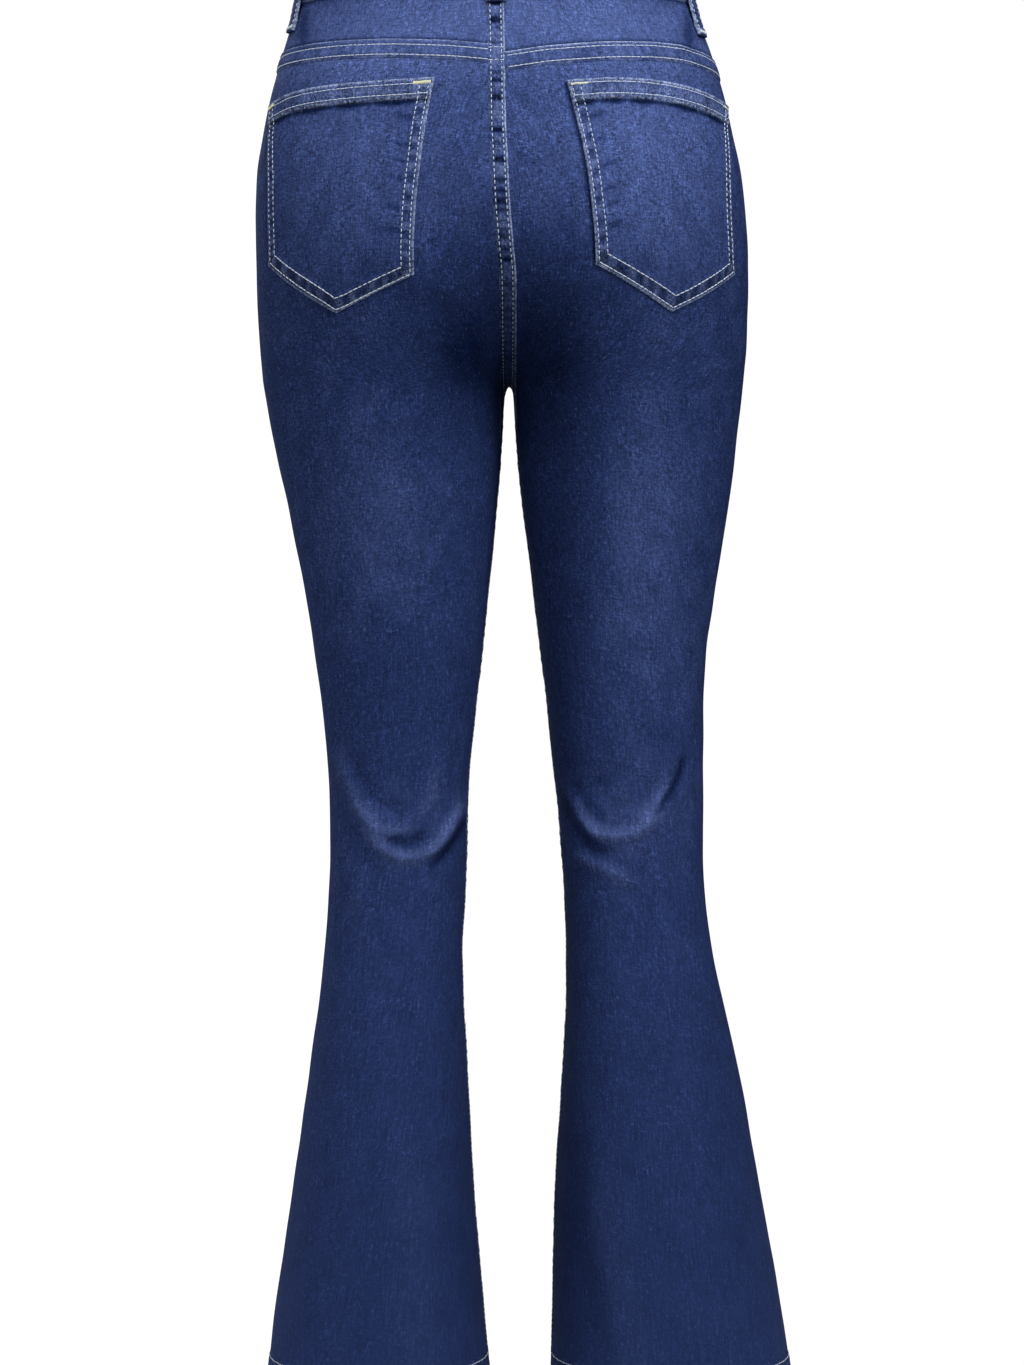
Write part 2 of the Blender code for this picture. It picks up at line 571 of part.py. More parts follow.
def back_pocket(row):
    """Patch pocket with a turned hem along its top and a pointed lower edge."""
    side = row["side"]
    top_width = row["top_out"] - row["top_in"]
    low_width = row["low_out"] - row["low_in"]
    point = (row["point"] - row["low_in"]) / low_width
    c = np.concatenate((np.linspace(0, point, 7), np.linspace(point, 1, 8)[1:]))[None, :]
    hem = POCKET_HEM / (150 * MM)
    r = np.array((0, hem - .01, hem, .22, .36, .5, .64, .78, .9, 1.0))[:, None]
    inner = row["top_in"] * (1 - r) + row["low_in"] * r + row["bow_in"] * 4 * r * (1 - r)
    outer = row["top_out"] * (1 - r) + row["low_out"] * r + row["bow_out"] * 4 * r * (1 - r)
    across = inner + (outer - inner) * c
    edge = np.interp(c, (0, .3, .7, 1), (row["top_in_z"], row["top_mid_z"],
                                         row["top_mid_z"] - 1, row["top_out_z"]))
    vee = np.interp(c, (0, point, 1), (row["low_in_z"], row["point_z"], row["low_out_z"]))
    p = by_tape(side, 1, across * MM, (edge * (1 - r) + vee * r) * MM)
    n = outward(p)
    thick = CLOTH * np.where(r < hem, 2.0, 1.0)[..., None]
    name = "back_pocket_" + ("left" if side > 0 else "right")
    clear = POCKET_CLEAR
    shell(name, p + n * (clear + thick), p + n * clear, "denim_pocket")


def waistband():
    """One strip round the waist, its left end lapped over the right at the front."""
    turn = np.linspace(-BAND_LAP, 2 * math.pi + BAND_UNDERLAP, 57)[None, :]
    z = np.linspace(BAND_BOTTOM, BAND_TOP, 4)[:, None] + 0.0 * turn
    reach = np.full(z.shape, REACH)
    p = cast(0.0, 0.0, z, np.sin(turn), -np.cos(turn), 0.0, reach)
    n = outward(p)
    ramp = math.radians(20)
    over = 1 - soft((turn - BAND_UNDERLAP - 0.04) / ramp)
    under = soft((turn - 2 * math.pi + BAND_LAP + 0.04 + ramp) / ramp)
    lift = BAND_PROUD + BAND_STEP * (over - under)
    shell("waistband", p + n * lift[..., None],
          p + n * (lift - BAND_THICK)[..., None], "denim_trim")


def belt_loop(row):
    """Narrow strip bridging the band, doubled under at both tacked ends."""
    share = np.array([r[0] for r in LOOP_PROFILE])
    lift = np.array([r[1] for r in LOOP_PROFILE])[:, None, None] * MM
    thick = np.array([r[2] for r in LOOP_PROFILE])[:, None, None] * MM
    z = (LOOP_TOP + share * (row["lower_end"] * MM - LOOP_TOP))[:, None]
    offset = np.linspace(-LOOP_WIDTH / 2, LOOP_WIDTH / 2, 3)[None, :]
    side, across = row["side"], row["from_centre"] * MM
    if across == 0:
        half = by_tape(side, row["face"], offset[:, 1:], z)
        other = by_tape(-side, row["face"], -offset[:, :1], z)
        p = np.concatenate((other, half), 1)
    elif row["face"] < 0:
        p = by_tape(side, row["face"], across + offset, z)
    else:
        angle = tape_angle(side, row["face"], across + offset, LOOP_LEVEL)
        p = wall(side, row["face"], angle, z)
    n = outward(p)
    shell(row["name"], p + n * (lift + thick), p + n * lift, "denim_trim")


def button():
    """Domed metal button on the lapped end of the band."""
    z = np.array(((BAND_TOP + BAND_BOTTOM) / 2,))
    p = cast(0.0, 0.0, z, -0.045, -1.0, 0.0, np.array((REACH,)))
    axis = outward(p)[0]
    seat = p[0] + axis * (BAND_PROUD + BAND_STEP + 1.4 * GAP)
    across = np.cross(axis, (0.0, 0.0, 1.0))
    across /= np.linalg.norm(across)
    up = np.cross(across, axis)
    steps = 24
    turns = np.arange(steps) * 2 * math.pi / steps
    rings = [seat + axis * h * MM + r * BUTTON_RADIUS * (
        np.cos(turns)[:, None] * across + np.sin(turns)[:, None] * up)
        for r, h in BUTTON_PROFILE]
    vertices = [seat, *np.concatenate(rings), seat + axis * BUTTON_CENTRE]
    last = len(vertices) - 1
    faces = [(0, 1 + (j + 1) % steps, 1 + j) for j in range(steps)]
    for i in range(len(rings) - 1):
        for j in range(steps):
            a, b = 1 + i * steps + j, 1 + i * steps + (j + 1) % steps
            faces.append((a, b, b + steps, a + steps))
    start = last - steps
    faces += [(start + j, start + (j + 1) % steps, last) for j in range(steps)]
    solid("button", vertices, faces, "button_metal", 35.0)


def main():
    """Clear the scene and build every piece."""
    for old in list(bpy.data.objects):
        bpy.data.objects.remove(old, do_unlink=True)
    for side in (1, -1):
        back_panel(side)
        front_panel(side)
        yoke(side)
        pocket_facing(side)
    for row in named(POCKET_COLUMNS, POCKETS):
        back_pocket(row)
    waistband()
    for row in named(LOOP_COLUMNS, LOOPS):
        belt_loop(row)
    button()


main()
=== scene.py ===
"""Flared jeans: fine denim shells, felled seams, stitching and a button over the frame.

The garment is filled out as if worn. +Z is up, the wearer faces -Y and the wearer's
left is +X. Every shape here follows the frame's own form, worked out from named sizes
and short tables in millimetres.
"""
import math
from functools import cache

import bmesh
import bpy
import numpy as np
from bpy.props import FloatProperty, FloatVectorProperty, PointerProperty
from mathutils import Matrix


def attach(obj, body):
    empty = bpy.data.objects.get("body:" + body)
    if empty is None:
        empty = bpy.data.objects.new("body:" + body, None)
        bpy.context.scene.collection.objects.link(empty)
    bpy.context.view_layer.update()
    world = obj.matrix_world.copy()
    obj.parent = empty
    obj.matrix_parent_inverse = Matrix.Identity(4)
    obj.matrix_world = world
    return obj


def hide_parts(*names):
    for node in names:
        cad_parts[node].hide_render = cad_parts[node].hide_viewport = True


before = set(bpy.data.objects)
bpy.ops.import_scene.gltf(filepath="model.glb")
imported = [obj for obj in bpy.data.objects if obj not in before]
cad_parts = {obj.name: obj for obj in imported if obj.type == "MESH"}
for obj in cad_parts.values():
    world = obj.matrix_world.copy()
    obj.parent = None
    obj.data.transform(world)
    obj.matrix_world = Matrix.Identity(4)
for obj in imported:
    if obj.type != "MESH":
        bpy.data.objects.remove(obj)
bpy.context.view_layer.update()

bl_info = {
    "name": "Flared Jeans",
    "version": (1, 0, 0),
    "blender": (4, 5, 0),
    "location": "View3D > Sidebar > Jeans",
    "description": "Builds flared jeans with felled seams, patch pockets and stitching",
    "category": "Object",
}

MM = 0.001

# ---- form of the garment ----------------------------------------------------------
# Distances from the centre of the waist, in mm: each leg's outer edge, centre line and
# inner edge, back and front of the body, the centre seam, and the width over which the
# two legs blend into one body.
SECTION_COLUMNS = ("z", "left_out", "left_mid", "left_in", "right_out", "right_mid",
                   "right_in", "back", "front", "middle", "blend")
SECTIONS = (
    (30, 139, 3.5, -132, 138, 3.5, -131, 83, -88, -1, 2),
    (0, 147, 3, -141, 146, 3, -140, 89, -91, -1, 3),
    (-31, 155, 4.5, -146, 155.5, 5.8, -144, 95, -95, -1, 6),
    (-62, 164.4, 10.7, -143, 166.7, 13.3, -140, 102, -99, -1.5, 10),
    (-93, 172.9, 19.5, -134, 175.9, 23, -130, 109, -102, -2, 18),
    (-124, 179, 29, -121, 182.9, 33.5, -116, 117, -104, -2.5, 28),
    (-155, 183, 38, -107, 189, 45, -99, 124, -105, -4, 38),
    (-186, 184, 46.8, -90.5, 192.1, 56.3, -79.5, 127, -105, -5.5, 44),
    (-216, 183.6, 54.8, -74, 193.7, 67.8, -58, 127, -104, -8, 42),
    (-242, 183, 62, -55.9, 193.7, 78, -35.5, 123, -102, -10.2, 34),
    (-266, 182, 69.5, -37, 193.1, 87, -16.2, 115.5, -100.2, -10.4, 25),
    (-287, 180.6, 75, -23.4, 192.3, 93, -2.6, 108.5, -98.8, -10.4, 18),
    (-297, 179.6, 77.3, -16.9, 191.6, 95.4, 3.9, 105, -98.2, -10.4, 15),
    (-304, 178.9, 78.8, -12, 191.1, 96.9, 8.8, 103, -97.8, -10.4, 13),
    (-310, 178.3, 79.9, -8.6, 190.6, 98, 12.2, 101.3, -97.4, -10.4, 12),
    (-317, 177.2, 81, -6.6, 189.8, 99.1, 14.2, 99.4, -97, -10.4, 12),
    (-327, 175.5, 82.2, -5.6, 188.6, 100.2, 15.2, 96.8, -96, -10.4, 12),
    (-345, 172.5, 83, -5.1, 186.4, 101.2, 15.9, 93, -94, -10.4, 12),
    (-363, 169, 82.2, -4.2, 184.4, 100.9, 17, 89.5, -92, -10.4, 12),
    (-401, 160.5, 79.8, -1, 179.8, 100.2, 20.6, 84, -87, -10.4, 12),
    (-440, 152.8, 77.8, 2.7, 173.6, 99.7, 25.8, 78, -82, -10, 12),
    (-478, 145.1, 75.8, 6.5, 167.5, 99, 30.4, 73, -77, -10, 12),
    (-517, 139, 74.7, 10.4, 161.9, 98.5, 35, 69, -72, -10, 12),
    (-555, 133.6, 74.3, 15, 159.9, 99.8, 39.7, 66, -68, -10, 12),
    (-594, 129.7, 74.3, 18.9, 159.6, 101.5, 43.5, 64, -65, -10, 12),
    (-632, 127.4, 74.5, 21.6, 159.4, 103.8, 48.1, 63, -62, -10, 12),
    (-671, 126.7, 74.7, 22.6, 159.2, 105.2, 51.2, 64, -60, -10, 12),
    (-709, 128.2, 76, 23.9, 161.3, 107.4, 53.5, 68, -60, -10, 12),
    (-748, 131.3, 78.6, 25.8, 166.4, 110.7, 54.9, 74, -62, -10, 12),
    (-786, 135.1, 80, 25, 174.4, 114.7, 54.9, 81, -66, -10, 12),
    (-825, 140.5, 81.7, 22.9, 183.4, 118.1, 52.7, 87, -71, -10, 12),
    (-863, 145.9, 83.2, 20.6, 191.1, 120.8, 50.4, 93, -76, -10, 12),
    (-940, 156.7, 86.5, 16.4, 204.6, 125.3, 46, 104, -85, -10, 12),
    (-1017, 168.2, 89, 9.8, 218.3, 131.2, 44.2, 112, -93, -10, 12),
    (-1070, 174.2, 89.5, 4.8, 226.6, 135, 43.4, 116, -97, -10, 12),
)

# Yoke seam: share of the way from the side seam to the seat seam, and its height on the
# left and on the right, in mm.
YOKE_SEAM = (
    (0, -60.5, -67.5),
    (0.15, -59.5, -64.5),
    (0.3, -59.8, -60.8),
    (0.42, -60.2, -61.2),
    (0.6, -61.5, -63.8),
    (0.8, -63.7, -68),
    (1, -67.5, -74),
)

# Back pockets: tape distance from the seat seam and height of each corner, and how far
# each upright edge curves between its corners, in mm.
POCKET_COLUMNS = ("top_in", "top_out", "top_in_z", "top_mid_z", "top_out_z", "low_in",
                  "point", "low_out", "low_in_z", "point_z", "low_out_z", "bow_in",
                  "bow_out")
POCKETS = {
    1: (46.5, 202.5, -93, -93.5, -102,
        70.5, 134, 200.5, -240.5, -267.5, -228, 2, -3),
    -1: (51, 207.5, -95.5, -90.5, -101,
         65, 126.5, 190, -233, -266.5, -235, 6, -5),
}

# Puckers pressed into the seat seam: distance down it in mm, depth and half length.
SEAT_PITS = (
    (12.9, 0.9, 1.3), (26, 1, 2.6), (32.4, 0.2, 1.2), (44.8, 0.3, 1.2), (68.5, 0.35, 1.5),
    (74.6, 0.45, 1.6), (88.4, 0.9, 2.3), (114.4, 0.58, 2.2), (124.8, 0.22, 1.5),
    (137.4, 0.85, 2), (153.3, 0.45, 1.9), (161.3, 0.35, 2), (168.3, 0.44, 3),
    (174.3, 0.42, 1.9), (189.6, 0.3, 1.5), (194.7, 0.46, 2.2), (204.1, 0.27, 1.5),
    (211.8, 0.37, 1.9), (230.8, 0.32, 1.5), (241.1, 0.22, 2.2),
)

# Belt loops: name, side, face, tape distance from the centre seam and height of the
# lower end, in mm.
LOOP_COLUMNS = ("name", "side", "face", "across", "lower_end")
LOOPS = (
    ("belt_loop_back", 1, 1, 0, -35),
    ("belt_loop_side_left", 1, 1, 169, -46),
    ("belt_loop_side_right", -1, 1, 163, -50),
    ("belt_loop_front_left", 1, -1, 92, -38),
    ("belt_loop_front_right", -1, -1, 92, -38),
)
# Down a loop: share of its length, gap under its cloth and thickness of it, in mm.
LOOP_PROFILE = ((0.00, 1.9, 3.0), (0.12, 1.9, 3.0), (0.17, 2.2, 1.8), (0.40, 2.9, 1.8),
                (0.62, 2.9, 1.8), (0.75, 2.3, 1.8), (0.82, 1.9, 1.8), (0.88, 0.5, 3.0),
                (1.00, 0.4, 3.0))

# Folds by side and face: a curve through four points (x and z in mm), height out of the
# cloth (minus for a trough) and half width above and below the curve.
FOLD_COLUMNS = ("ax", "az", "bx", "bz", "cx", "cz", "dx", "dz", "height", "above",
                "below")
FOLDS = {(1, 1): (
    (122, -586, 109, -625, 88, -652, 59, -648, 3.5, 6, 5),
    (60.5, -645, 50.5, -634, 46, -619, 43, -602, 1.6, 6, 6),
    (95, -648, 80.5, -670, 49, -669, 21, -616, 3.8, 6.2, 4.8),
    (79, -657, 71, -661, 61, -661, 51, -653, -2.6, 4, 3.5),
    (53, -681, 39.5, -672, 29, -659, 21, -639, -2.4, 3.5, 6),
    (121, -630, 110, -655, 97, -676, 78, -690, -1.5, 5, 9),
    (112, -592, 98, -622, 80, -637, 60, -634, -1.5, 8, 4),
    (66, -860, 62, -930, 58, -1000, 56, -1090, 0.7, 18, 18),
    (100, -880, 106, -950, 112, -1010, 118, -1090, -0.7, 18, 18),
    (8, -282, 30, -272, 66, -252, 104, -240, -1.6, 12, 14),
), (-1, 1): (
    (-53, -613, -71.5, -653, -109, -653.5, -134, -611, 3.8, 6, 4.6),
    (-50, -622, -63, -650, -76, -666, -90, -670, -2.8, 3.4, 5),
    (-58, -669, -71.5, -678, -88, -685, -117, -698, 2.4, 5, 6),
    (-143, -594, -137, -617, -127, -634, -117, -648, -2.8, 2.6, 3.6),
    (-48, -600, -62, -612, -80, -617, -98, -604, -1.4, 8, 8),
    (-66, -604, -84, -632, -104, -632, -120, -600, -1.6, 9, 6),
    (-58, -836, -65, -955, -76, -1004, -86, -1090, -1.8, 6, 14),
    (-78, -880, -88, -970, -100, -1030, -108, -1100, 0.9, 15, 18),
    (-160, -760, -172, -850, -184, -940, -192, -1040, -1.4, 16, 18),
    (-30, -284, -54, -272, -90, -250, -128, -236, -1.6, 12, 14),
), (1, -1): (
    (112, -612, 92, -634, 62, -634, 42, -616, 1.8, 10, 8),
    (106, -640, 86, -656, 60, -656, 42, -636, -1.6, 9, 9),
    (84, -850, 86, -920, 90, -1000, 94, -1090, 2, 17, 17),
    (4, -292, 30, -280, 62, -266, 96, -258, -1.3, 9, 11),
), (-1, -1): (
    (-66, -610, -84, -634, -112, -636, -134, -612, 1.8, 10, 8),
    (-64, -640, -84, -660, -112, -658, -130, -640, -1.6, 9, 9),
    (-122, -850, -126, -920, -132, -1000, -138, -1090, 2, 17, 17),
    (-26, -292, -52, -280, -84, -266, -118, -258, -1.3, 9, 11),
)}

# Creases: lines along the folds painted darker or lighter, placed as folds are. The darker
# lines are painted shade in the troughs; the lighter ones are worn whiskers and ridges,
# with painted light on them.
CREASES = {(1, 1): (
    (53.9, -674.4, 42.7, -663.2, 32.9, -647.9, 23.8, -628.3, 0.35, 3.8, 3.8),
    (51.1, -682.8, 39.9, -671.6, 28.7, -656.2, 21.1, -642.3, -0.75, 2.4, 3),
    (82, -659.5, 73.4, -662.5, 64, -663.5, 54, -657, -0.4, 3, 3),
    (123.7, -593.4, 116.7, -611.6, 109.7, -624.1, 103, -636, -0.14, 7, 7),
), (-1, 1): (
    (-57.1, -624.1, -64.1, -636.7, -72.5, -650.7, -83.7, -660.4, 0.26, 4.5, 4.5),
    (-107.4, -646.5, -117.2, -636.7, -125.5, -625.5, -133.9, -613, 0.28, 5, 5),
    (-143.3, -593.4, -140.2, -607.4, -133.9, -621.3, -119.5, -643, -0.85, 2.2, 2.6),
    (-55.7, -615.1, -66.9, -624.1, -75.3, -635.3, -85, -649.3, -0.4, 4.5, 4),
    (-49.4, -621.3, -58.5, -640.9, -68.3, -659, -83.6, -673, -0.4, 4.5, 5),
    (-50.1, -608.1, -59.9, -608.1, -69.7, -609.5, -80.9, -613, 0.2, 4, 4),
), (1, -1): (
    (118, -196, 92, -214, 64, -222, 30, -218, 0.22, 5, 8),
    (112, -216, 88, -232, 62, -240, 26, -236, 0.16, 4, 7),
    (112, -206, 90, -223, 63, -231, 28, -227, -0.3, 3, 3),
    (108, -628, 88, -645, 62, -645, 42, -626, -0.35, 4, 4),
), (-1, -1): (
    (-134, -192, -108, -212, -78, -222, -44, -220, 0.22, 5, 8),
    (-130, -214, -104, -232, -76, -242, -42, -240, 0.16, 4, 7),
    (-130, -203, -106, -222, -77, -232, -43, -230, -0.3, 3, 3),
    (-66, -626, -86, -647, -110, -647, -130, -628, -0.35, 4, 4),
)}

# Fades and painted light and shade by face: centre (x, z) and reach (across, down) of each
# lighter or darker place, in mm, and its strength. Lighter places are partly real fading
# and partly painted light where the lamps fall; darker places are mostly painted shade in
# the crotch, under the seat, along the inner thighs, down the shins and beside the side
# belt loops.
FADES_AND_SHADES = {1: (
    (0, -45, 190, 40, 0.55), (-105, -135, 70, 95, 0.45), (98, -140, 70, 80, 0.28),
    (100, -76, 90, 20, 0.25), (-6, -150, 60, 90, 0.12), (-12, -300, 60, 60, -0.7),
    (25, -296, 26, 36, -0.45), (-56, -380, 26, 160, -0.25), (85, -420, 40, 90, 0.2),
    (85, -545, 45, 45, -0.16), (-110, -430, 40, 120, 0.28), (78, -655, 42, 36, 0.12),
    (-94, -640, 42, 34, 0.22), (0, -1000, 300, 190, -0.22), (-52, -700, 16, 420, -0.2),
    (-147, -50, 5, 16, -0.6), (146, -46, 5, 16, -0.5),
), -1: (
    (0, -45, 190, 40, 0.4), (90, -430, 40, 150, 0.4), (-110, -430, 40, 150, 0.4),
    (80, -640, 40, 60, 0.25), (-100, -640, 40, 60, 0.25), (-6, -300, 40, 40, -0.35),
)}

# Shares of a back panel's width beside its pocket's edge, where its grid is finer to carry
# the pocket's painted shadow.
POCKET_SHARES = {1: (0.155, 0.235), -1: (0.715, 0.815)}

# Sizes of the pieces; heights are those of the frame, whose waist is at 0.
BAND_TOP = 19.5 * MM
BAND_BOTTOM = -24.5 * MM
PANEL_TOP = BAND_BOTTOM + 1 * MM    # yokes and fronts are tucked this far into the band
BAND_MIDDLE, BAND_HALF = (BAND_TOP + BAND_BOTTOM) / 2, (BAND_TOP - BAND_BOTTOM) / 2
BAND_LAP = math.radians(11.0)
BAND_UNDERLAP = math.radians(16.0)
BAND_STEP = 1.8 * MM
BAND_INSET = 3.2 * MM
HEM_BOTTOM = -1066.0 * MM
HEM_DEPTH = 13.0 * MM
KNEE_TOP = -575.0 * MM      # between these the rows of a panel's grid are closest
KNEE_BOTTOM = -725.0 * MM
OUTSEAM_TURN = math.radians(5.0)
FLY_END = -172.0 * MM
FLY_LAP = 8.0 * MM
FLY_FADE = 22.0 * MM
FLY_RISE = 2.2 * MM
FLY_TAIL = 30.0 * MM
FLY_FULL = 17.0 * MM
FLY_SLOPE = 9.0 * MM
SIDE_GROOVE = 0.7       # mm
SIDE_ALLOWANCE = 0.35   # mm
TURNED_UNDER = 1.7      # drop of the front's edge where it is turned under, in mm
SCOOP_WIDTH = 90.0 * MM
SCOOP_DROP = 78.0 * MM
SCOOP_TUCK = 13.0 * MM
SCOOP_RADIUS = 0.125
FACING_SINK = 1.75 * MM
FACING_PAST = 0.03      # turn that a facing runs past the side seam, in radians
POCKET_HEM = 15.0 * MM
TAPE_LENGTH = 0.27
TAPE_PAST = 0.12        # share of a leg's half turn measured past the side seam
LOOP_TOP = 18.5 * MM
LOOP_LEVEL = -8.0 * MM
LOOP_INSET = 2.6 * MM
BUTTON_RADIUS = 8.5 * MM
BUTTON_WAY = (-0.045, -1.0, 0.0)    # from the middle of the waist
# Section of the button from under its rim to its centre: share of its radius, and height
# in mm.
BUTTON_PROFILE = ((0.55, -0.4), (0.62, 0.0), (0.93, 0.5), (1.0, 1.2), (0.99, 1.7),
                  (0.93, 2.3), (0.84, 2.6), (0.74, 2.5), (0.68, 2.15), (0.62, 2.0),
                  (0.45, 2.2), (0.25, 2.5), (0.08, 2.6), (0.0, 2.6))
STITCH_SPREAD = 0.05    # unevenness of a stitch's lean and length
TONE_SPREAD = 0.07      # and of its gold
ON_CLOTH = 0.16 * MM    # a thread's middle over the cloth that it lies on
THIN = 0.09 * MM        # least height of a seam over the panels
FLOOR = -1.1
CAMERA = (-0.0127, 3.0, -0.5417)
CAMERA_FOCUS = 3896.0 / 1365.0      # focal length by the height of the view
SENSOR_HEIGHT = 24.0                # mm
SKY_LIGHT = 0.05        # strength of the sky as a light
SKY_SEEN = 1.05         # and as the camera sees it
ROUNDNESS = 2.15        # of a leg's section, 2 being an ellipse
LEG_REACH = 0.30        # no cloth is farther than this from a leg's centre line
BODY_REACH = 0.20       # nor than this from a plane through the body's middle
CAST_STEPS = 22         # halvings of a ray, to less than a thousandth of a mm
CROTCH_RANGE = (-0.33, -0.29)


# ---- form: worked out from the tables ---------------------------------------------
def named(columns, rows):
    """Rows of a table as dictionaries."""
    return [dict(zip(columns, row)) for row in rows]


def slopes(x, v):
    """Slopes of a smooth curve through a column that never overshoots it."""
    step = np.diff(x)
    rate = np.diff(v) / step
    before, after = rate[:-1], rate[1:]
    near, far = 2 * step[1:] + step[:-1], step[1:] + 2 * step[:-1]
    same = before * after > 0
    safe_before = np.where(same, before, 1.0)
    safe_after = np.where(same, after, 1.0)
    inner = np.where(same, (near + far) / (near / safe_before + far / safe_after), 0.0)
    return np.concatenate(([rate[0]], inner, [rate[-1]]))


SECTION = {name: np.array([row[i] for row in SECTIONS], float) * MM
           for i, name in enumerate(SECTION_COLUMNS)}
DEPTH = -SECTION["z"]
SLOPE = {name: slopes(DEPTH, SECTION[name]) for name in SECTION_COLUMNS[1:]}


def column(name, z):
    """A column of the section table at any height."""
    depth = np.clip(-np.asarray(z, float), DEPTH[0], DEPTH[-1])
    i = np.clip(np.searchsorted(DEPTH, depth) - 1, 0, len(DEPTH) - 2)
    span = DEPTH[i + 1] - DEPTH[i]
    t = (depth - DEPTH[i]) / span
    value, slope = SECTION[name], SLOPE[name]
    start = (1 + 2 * t) * (1 - t) ** 2 * value[i] + t * (1 - t) ** 2 * span * slope[i]
    end = t * t * (3 - 2 * t) * value[i + 1] + t * t * (t - 1) * span * slope[i + 1]
    return start + end


def yoke_height(side, share):
    """Height of the yoke seam, by share of the way to the seat seam."""
    i = 1 if side > 0 else 2
    return np.interp(share, [r[0] for r in YOKE_SEAM], [r[i] for r in YOKE_SEAM]) * MM


def soft(t):
    """Smooth step from 0 to 1."""
    t = np.clip(t, 0.0, 1.0)
    return t * t * (3 - 2 * t)


def bump(d, width):
    """Bell curve, 1 at a distance of nothing."""
    return np.exp(-(d / width) ** 2)


def leg_axis(side, z):
    """A leg's centre line at a height."""
    name = "left_mid" if side > 0 else "right_mid"
    return side * column(name, z), 0.3 * (column("back", z) + column("front", z))


def leg_field(side, x, y, z):
    """Distance-like field of one leg: negative inside, zero on the cloth."""
    name = "left" if side > 0 else "right"
    cx, cy = leg_axis(side, z)
    outer = column(name + "_out", z) - side * cx
    inner = side * cx - column(name + "_in", z)
    half = np.where(side * (x - cx) > 0, outer, inner)
    depth = np.where(y > cy, column("back", z) - cy, cy - column("front", z))
    oval = np.abs((x - cx) / half) ** ROUNDNESS + np.abs((y - cy) / depth) ** ROUNDNESS
    return (oval ** (1 / ROUNDNESS) - 1) * np.sqrt(half * depth)


def field(x, y, z):
    """Both legs, blended into one body."""
    left, right = leg_field(1, x, y, z), leg_field(-1, x, y, z)
    blend = column("blend", z)
    overlap = np.maximum(blend - np.abs(left - right), 0) / blend
    return np.minimum(left, right) - overlap * overlap * blend / 4


def unit(v):
    """Directions at a length of 1."""
    return v / np.linalg.norm(v, axis=-1, keepdims=True)


def outward(p):
    """Unit normals of the body form at points on it."""
    e = 0.4 * MM
    x, y, z = p[..., 0], p[..., 1], p[..., 2]
    return unit(np.stack((field(x + e, y, z) - field(x - e, y, z),
                          field(x, y + e, z) - field(x, y - e, z),
                          field(x, y, z + e) - field(x, y, z - e)), -1))


def cast(x, y, z, dx, dy, dz, reach=BODY_REACH):
    """Points where rays from inside the body leave it."""
    low = np.zeros(np.broadcast(x, y, z, dx, dy, dz, reach).shape)
    high = low + reach
    for _ in range(CAST_STEPS):
        mid = (low + high) / 2
        outside = field(x + dx * mid, y + dy * mid, z + dz * mid) > 0
        high = np.where(outside, mid, high)
        low = np.where(outside, low, mid)
    return np.stack((x + dx * low, y + dy * low, z + dz * low), -1)


def wall(side, face, angle, z, lap=0.0):
    """Body form by height and angle about a leg's axis, from the outer side round."""
    angle, z, lap = np.broadcast_arrays(angle, z, lap)
    cx, cy = leg_axis(side, z)
    dx, dy = side * np.cos(angle), face * np.sin(angle)
    plane = column("middle", z) - side * lap
    to_plane = (plane - cx) / np.where(np.abs(dx) < 1e-6, 1e-6, dx)
    reach = np.where(to_plane > 0, np.minimum(to_plane, LEG_REACH), LEG_REACH)
    return cast(cx, cy, z, dx, dy, 0.0, reach)


def crotch_height():
    """Lowest height at which the two legs are still one body."""
    low, high = CROTCH_RANGE
    for _ in range(40):
        z = (low + high) / 2
        inside = field(column("middle", z), leg_axis(1, z)[1], z) < 0
        low, high = (low, z) if inside else (z, high)
    return high


CROTCH = crotch_height()
SEAM_TURN = CROTCH + 40 * MM    # the centre seams turn under the body from here


def fly_lap(side, face, z):
    """How far a front laps over the centre line at a height."""
    if side < 0 or face > 0:
        return 0.0 * z
    return FLY_LAP * soft((z - FLY_END) / FLY_FADE)


def end_angle(side, face, z, lap=0.0):
    """Angle of the seat or front seam about a leg's axis."""
    x = column("middle", z) - side * lap
    cx, cy = leg_axis(side, z)
    y = cast(x, cy, z, 0.0, float(face), 0.0)[..., 1]
    return np.arctan2(face * (y - cy), side * (x - cx)), y


def centre_seam(side, face, top, shares):
    """Heights and end angles at shares of the way down the seat or front seam."""
    z = np.linspace(top, SEAM_TURN, 120)
    _, y = end_angle(side, face, z, fly_lap(side, face, z))
    dip = np.linspace(0, math.pi / 2, 160)[1:]
    below = cast(float(column("middle", SEAM_TURN)), float(leg_axis(side, SEAM_TURN)[1]),
                 SEAM_TURN, 0.0, face * np.cos(dip), -np.sin(dip))
    line = np.stack((np.append(y, below[:, 1]), np.append(z, below[:, 2])), -1)
    length = run(line)
    y, z = along_line(shares * length[-1], length, line).T
    cx, cy = leg_axis(side, z)
    x = column("middle", z) - side * fly_lap(side, face, z)
    angle = np.arctan2(face * (y - cy), side * (x - cx))
    return z, np.where(shares == 1, math.pi, angle)


def run(p, axis=0):
    """Length along a line of points, or along one way of a grid of them."""
    step = np.linalg.norm(np.diff(p, axis=axis), axis=-1)
    return np.insert(np.cumsum(step, axis), 0, 0.0, axis)


def along_line(at, length, values):
    """Values between those of a line's points, by length along it."""
    return np.stack([np.interp(at, length, v) for v in values.T], -1)


def raised(p, n, lift):
    """Points lifted along their outward directions."""
    return p + n * np.asarray(lift)[..., None]


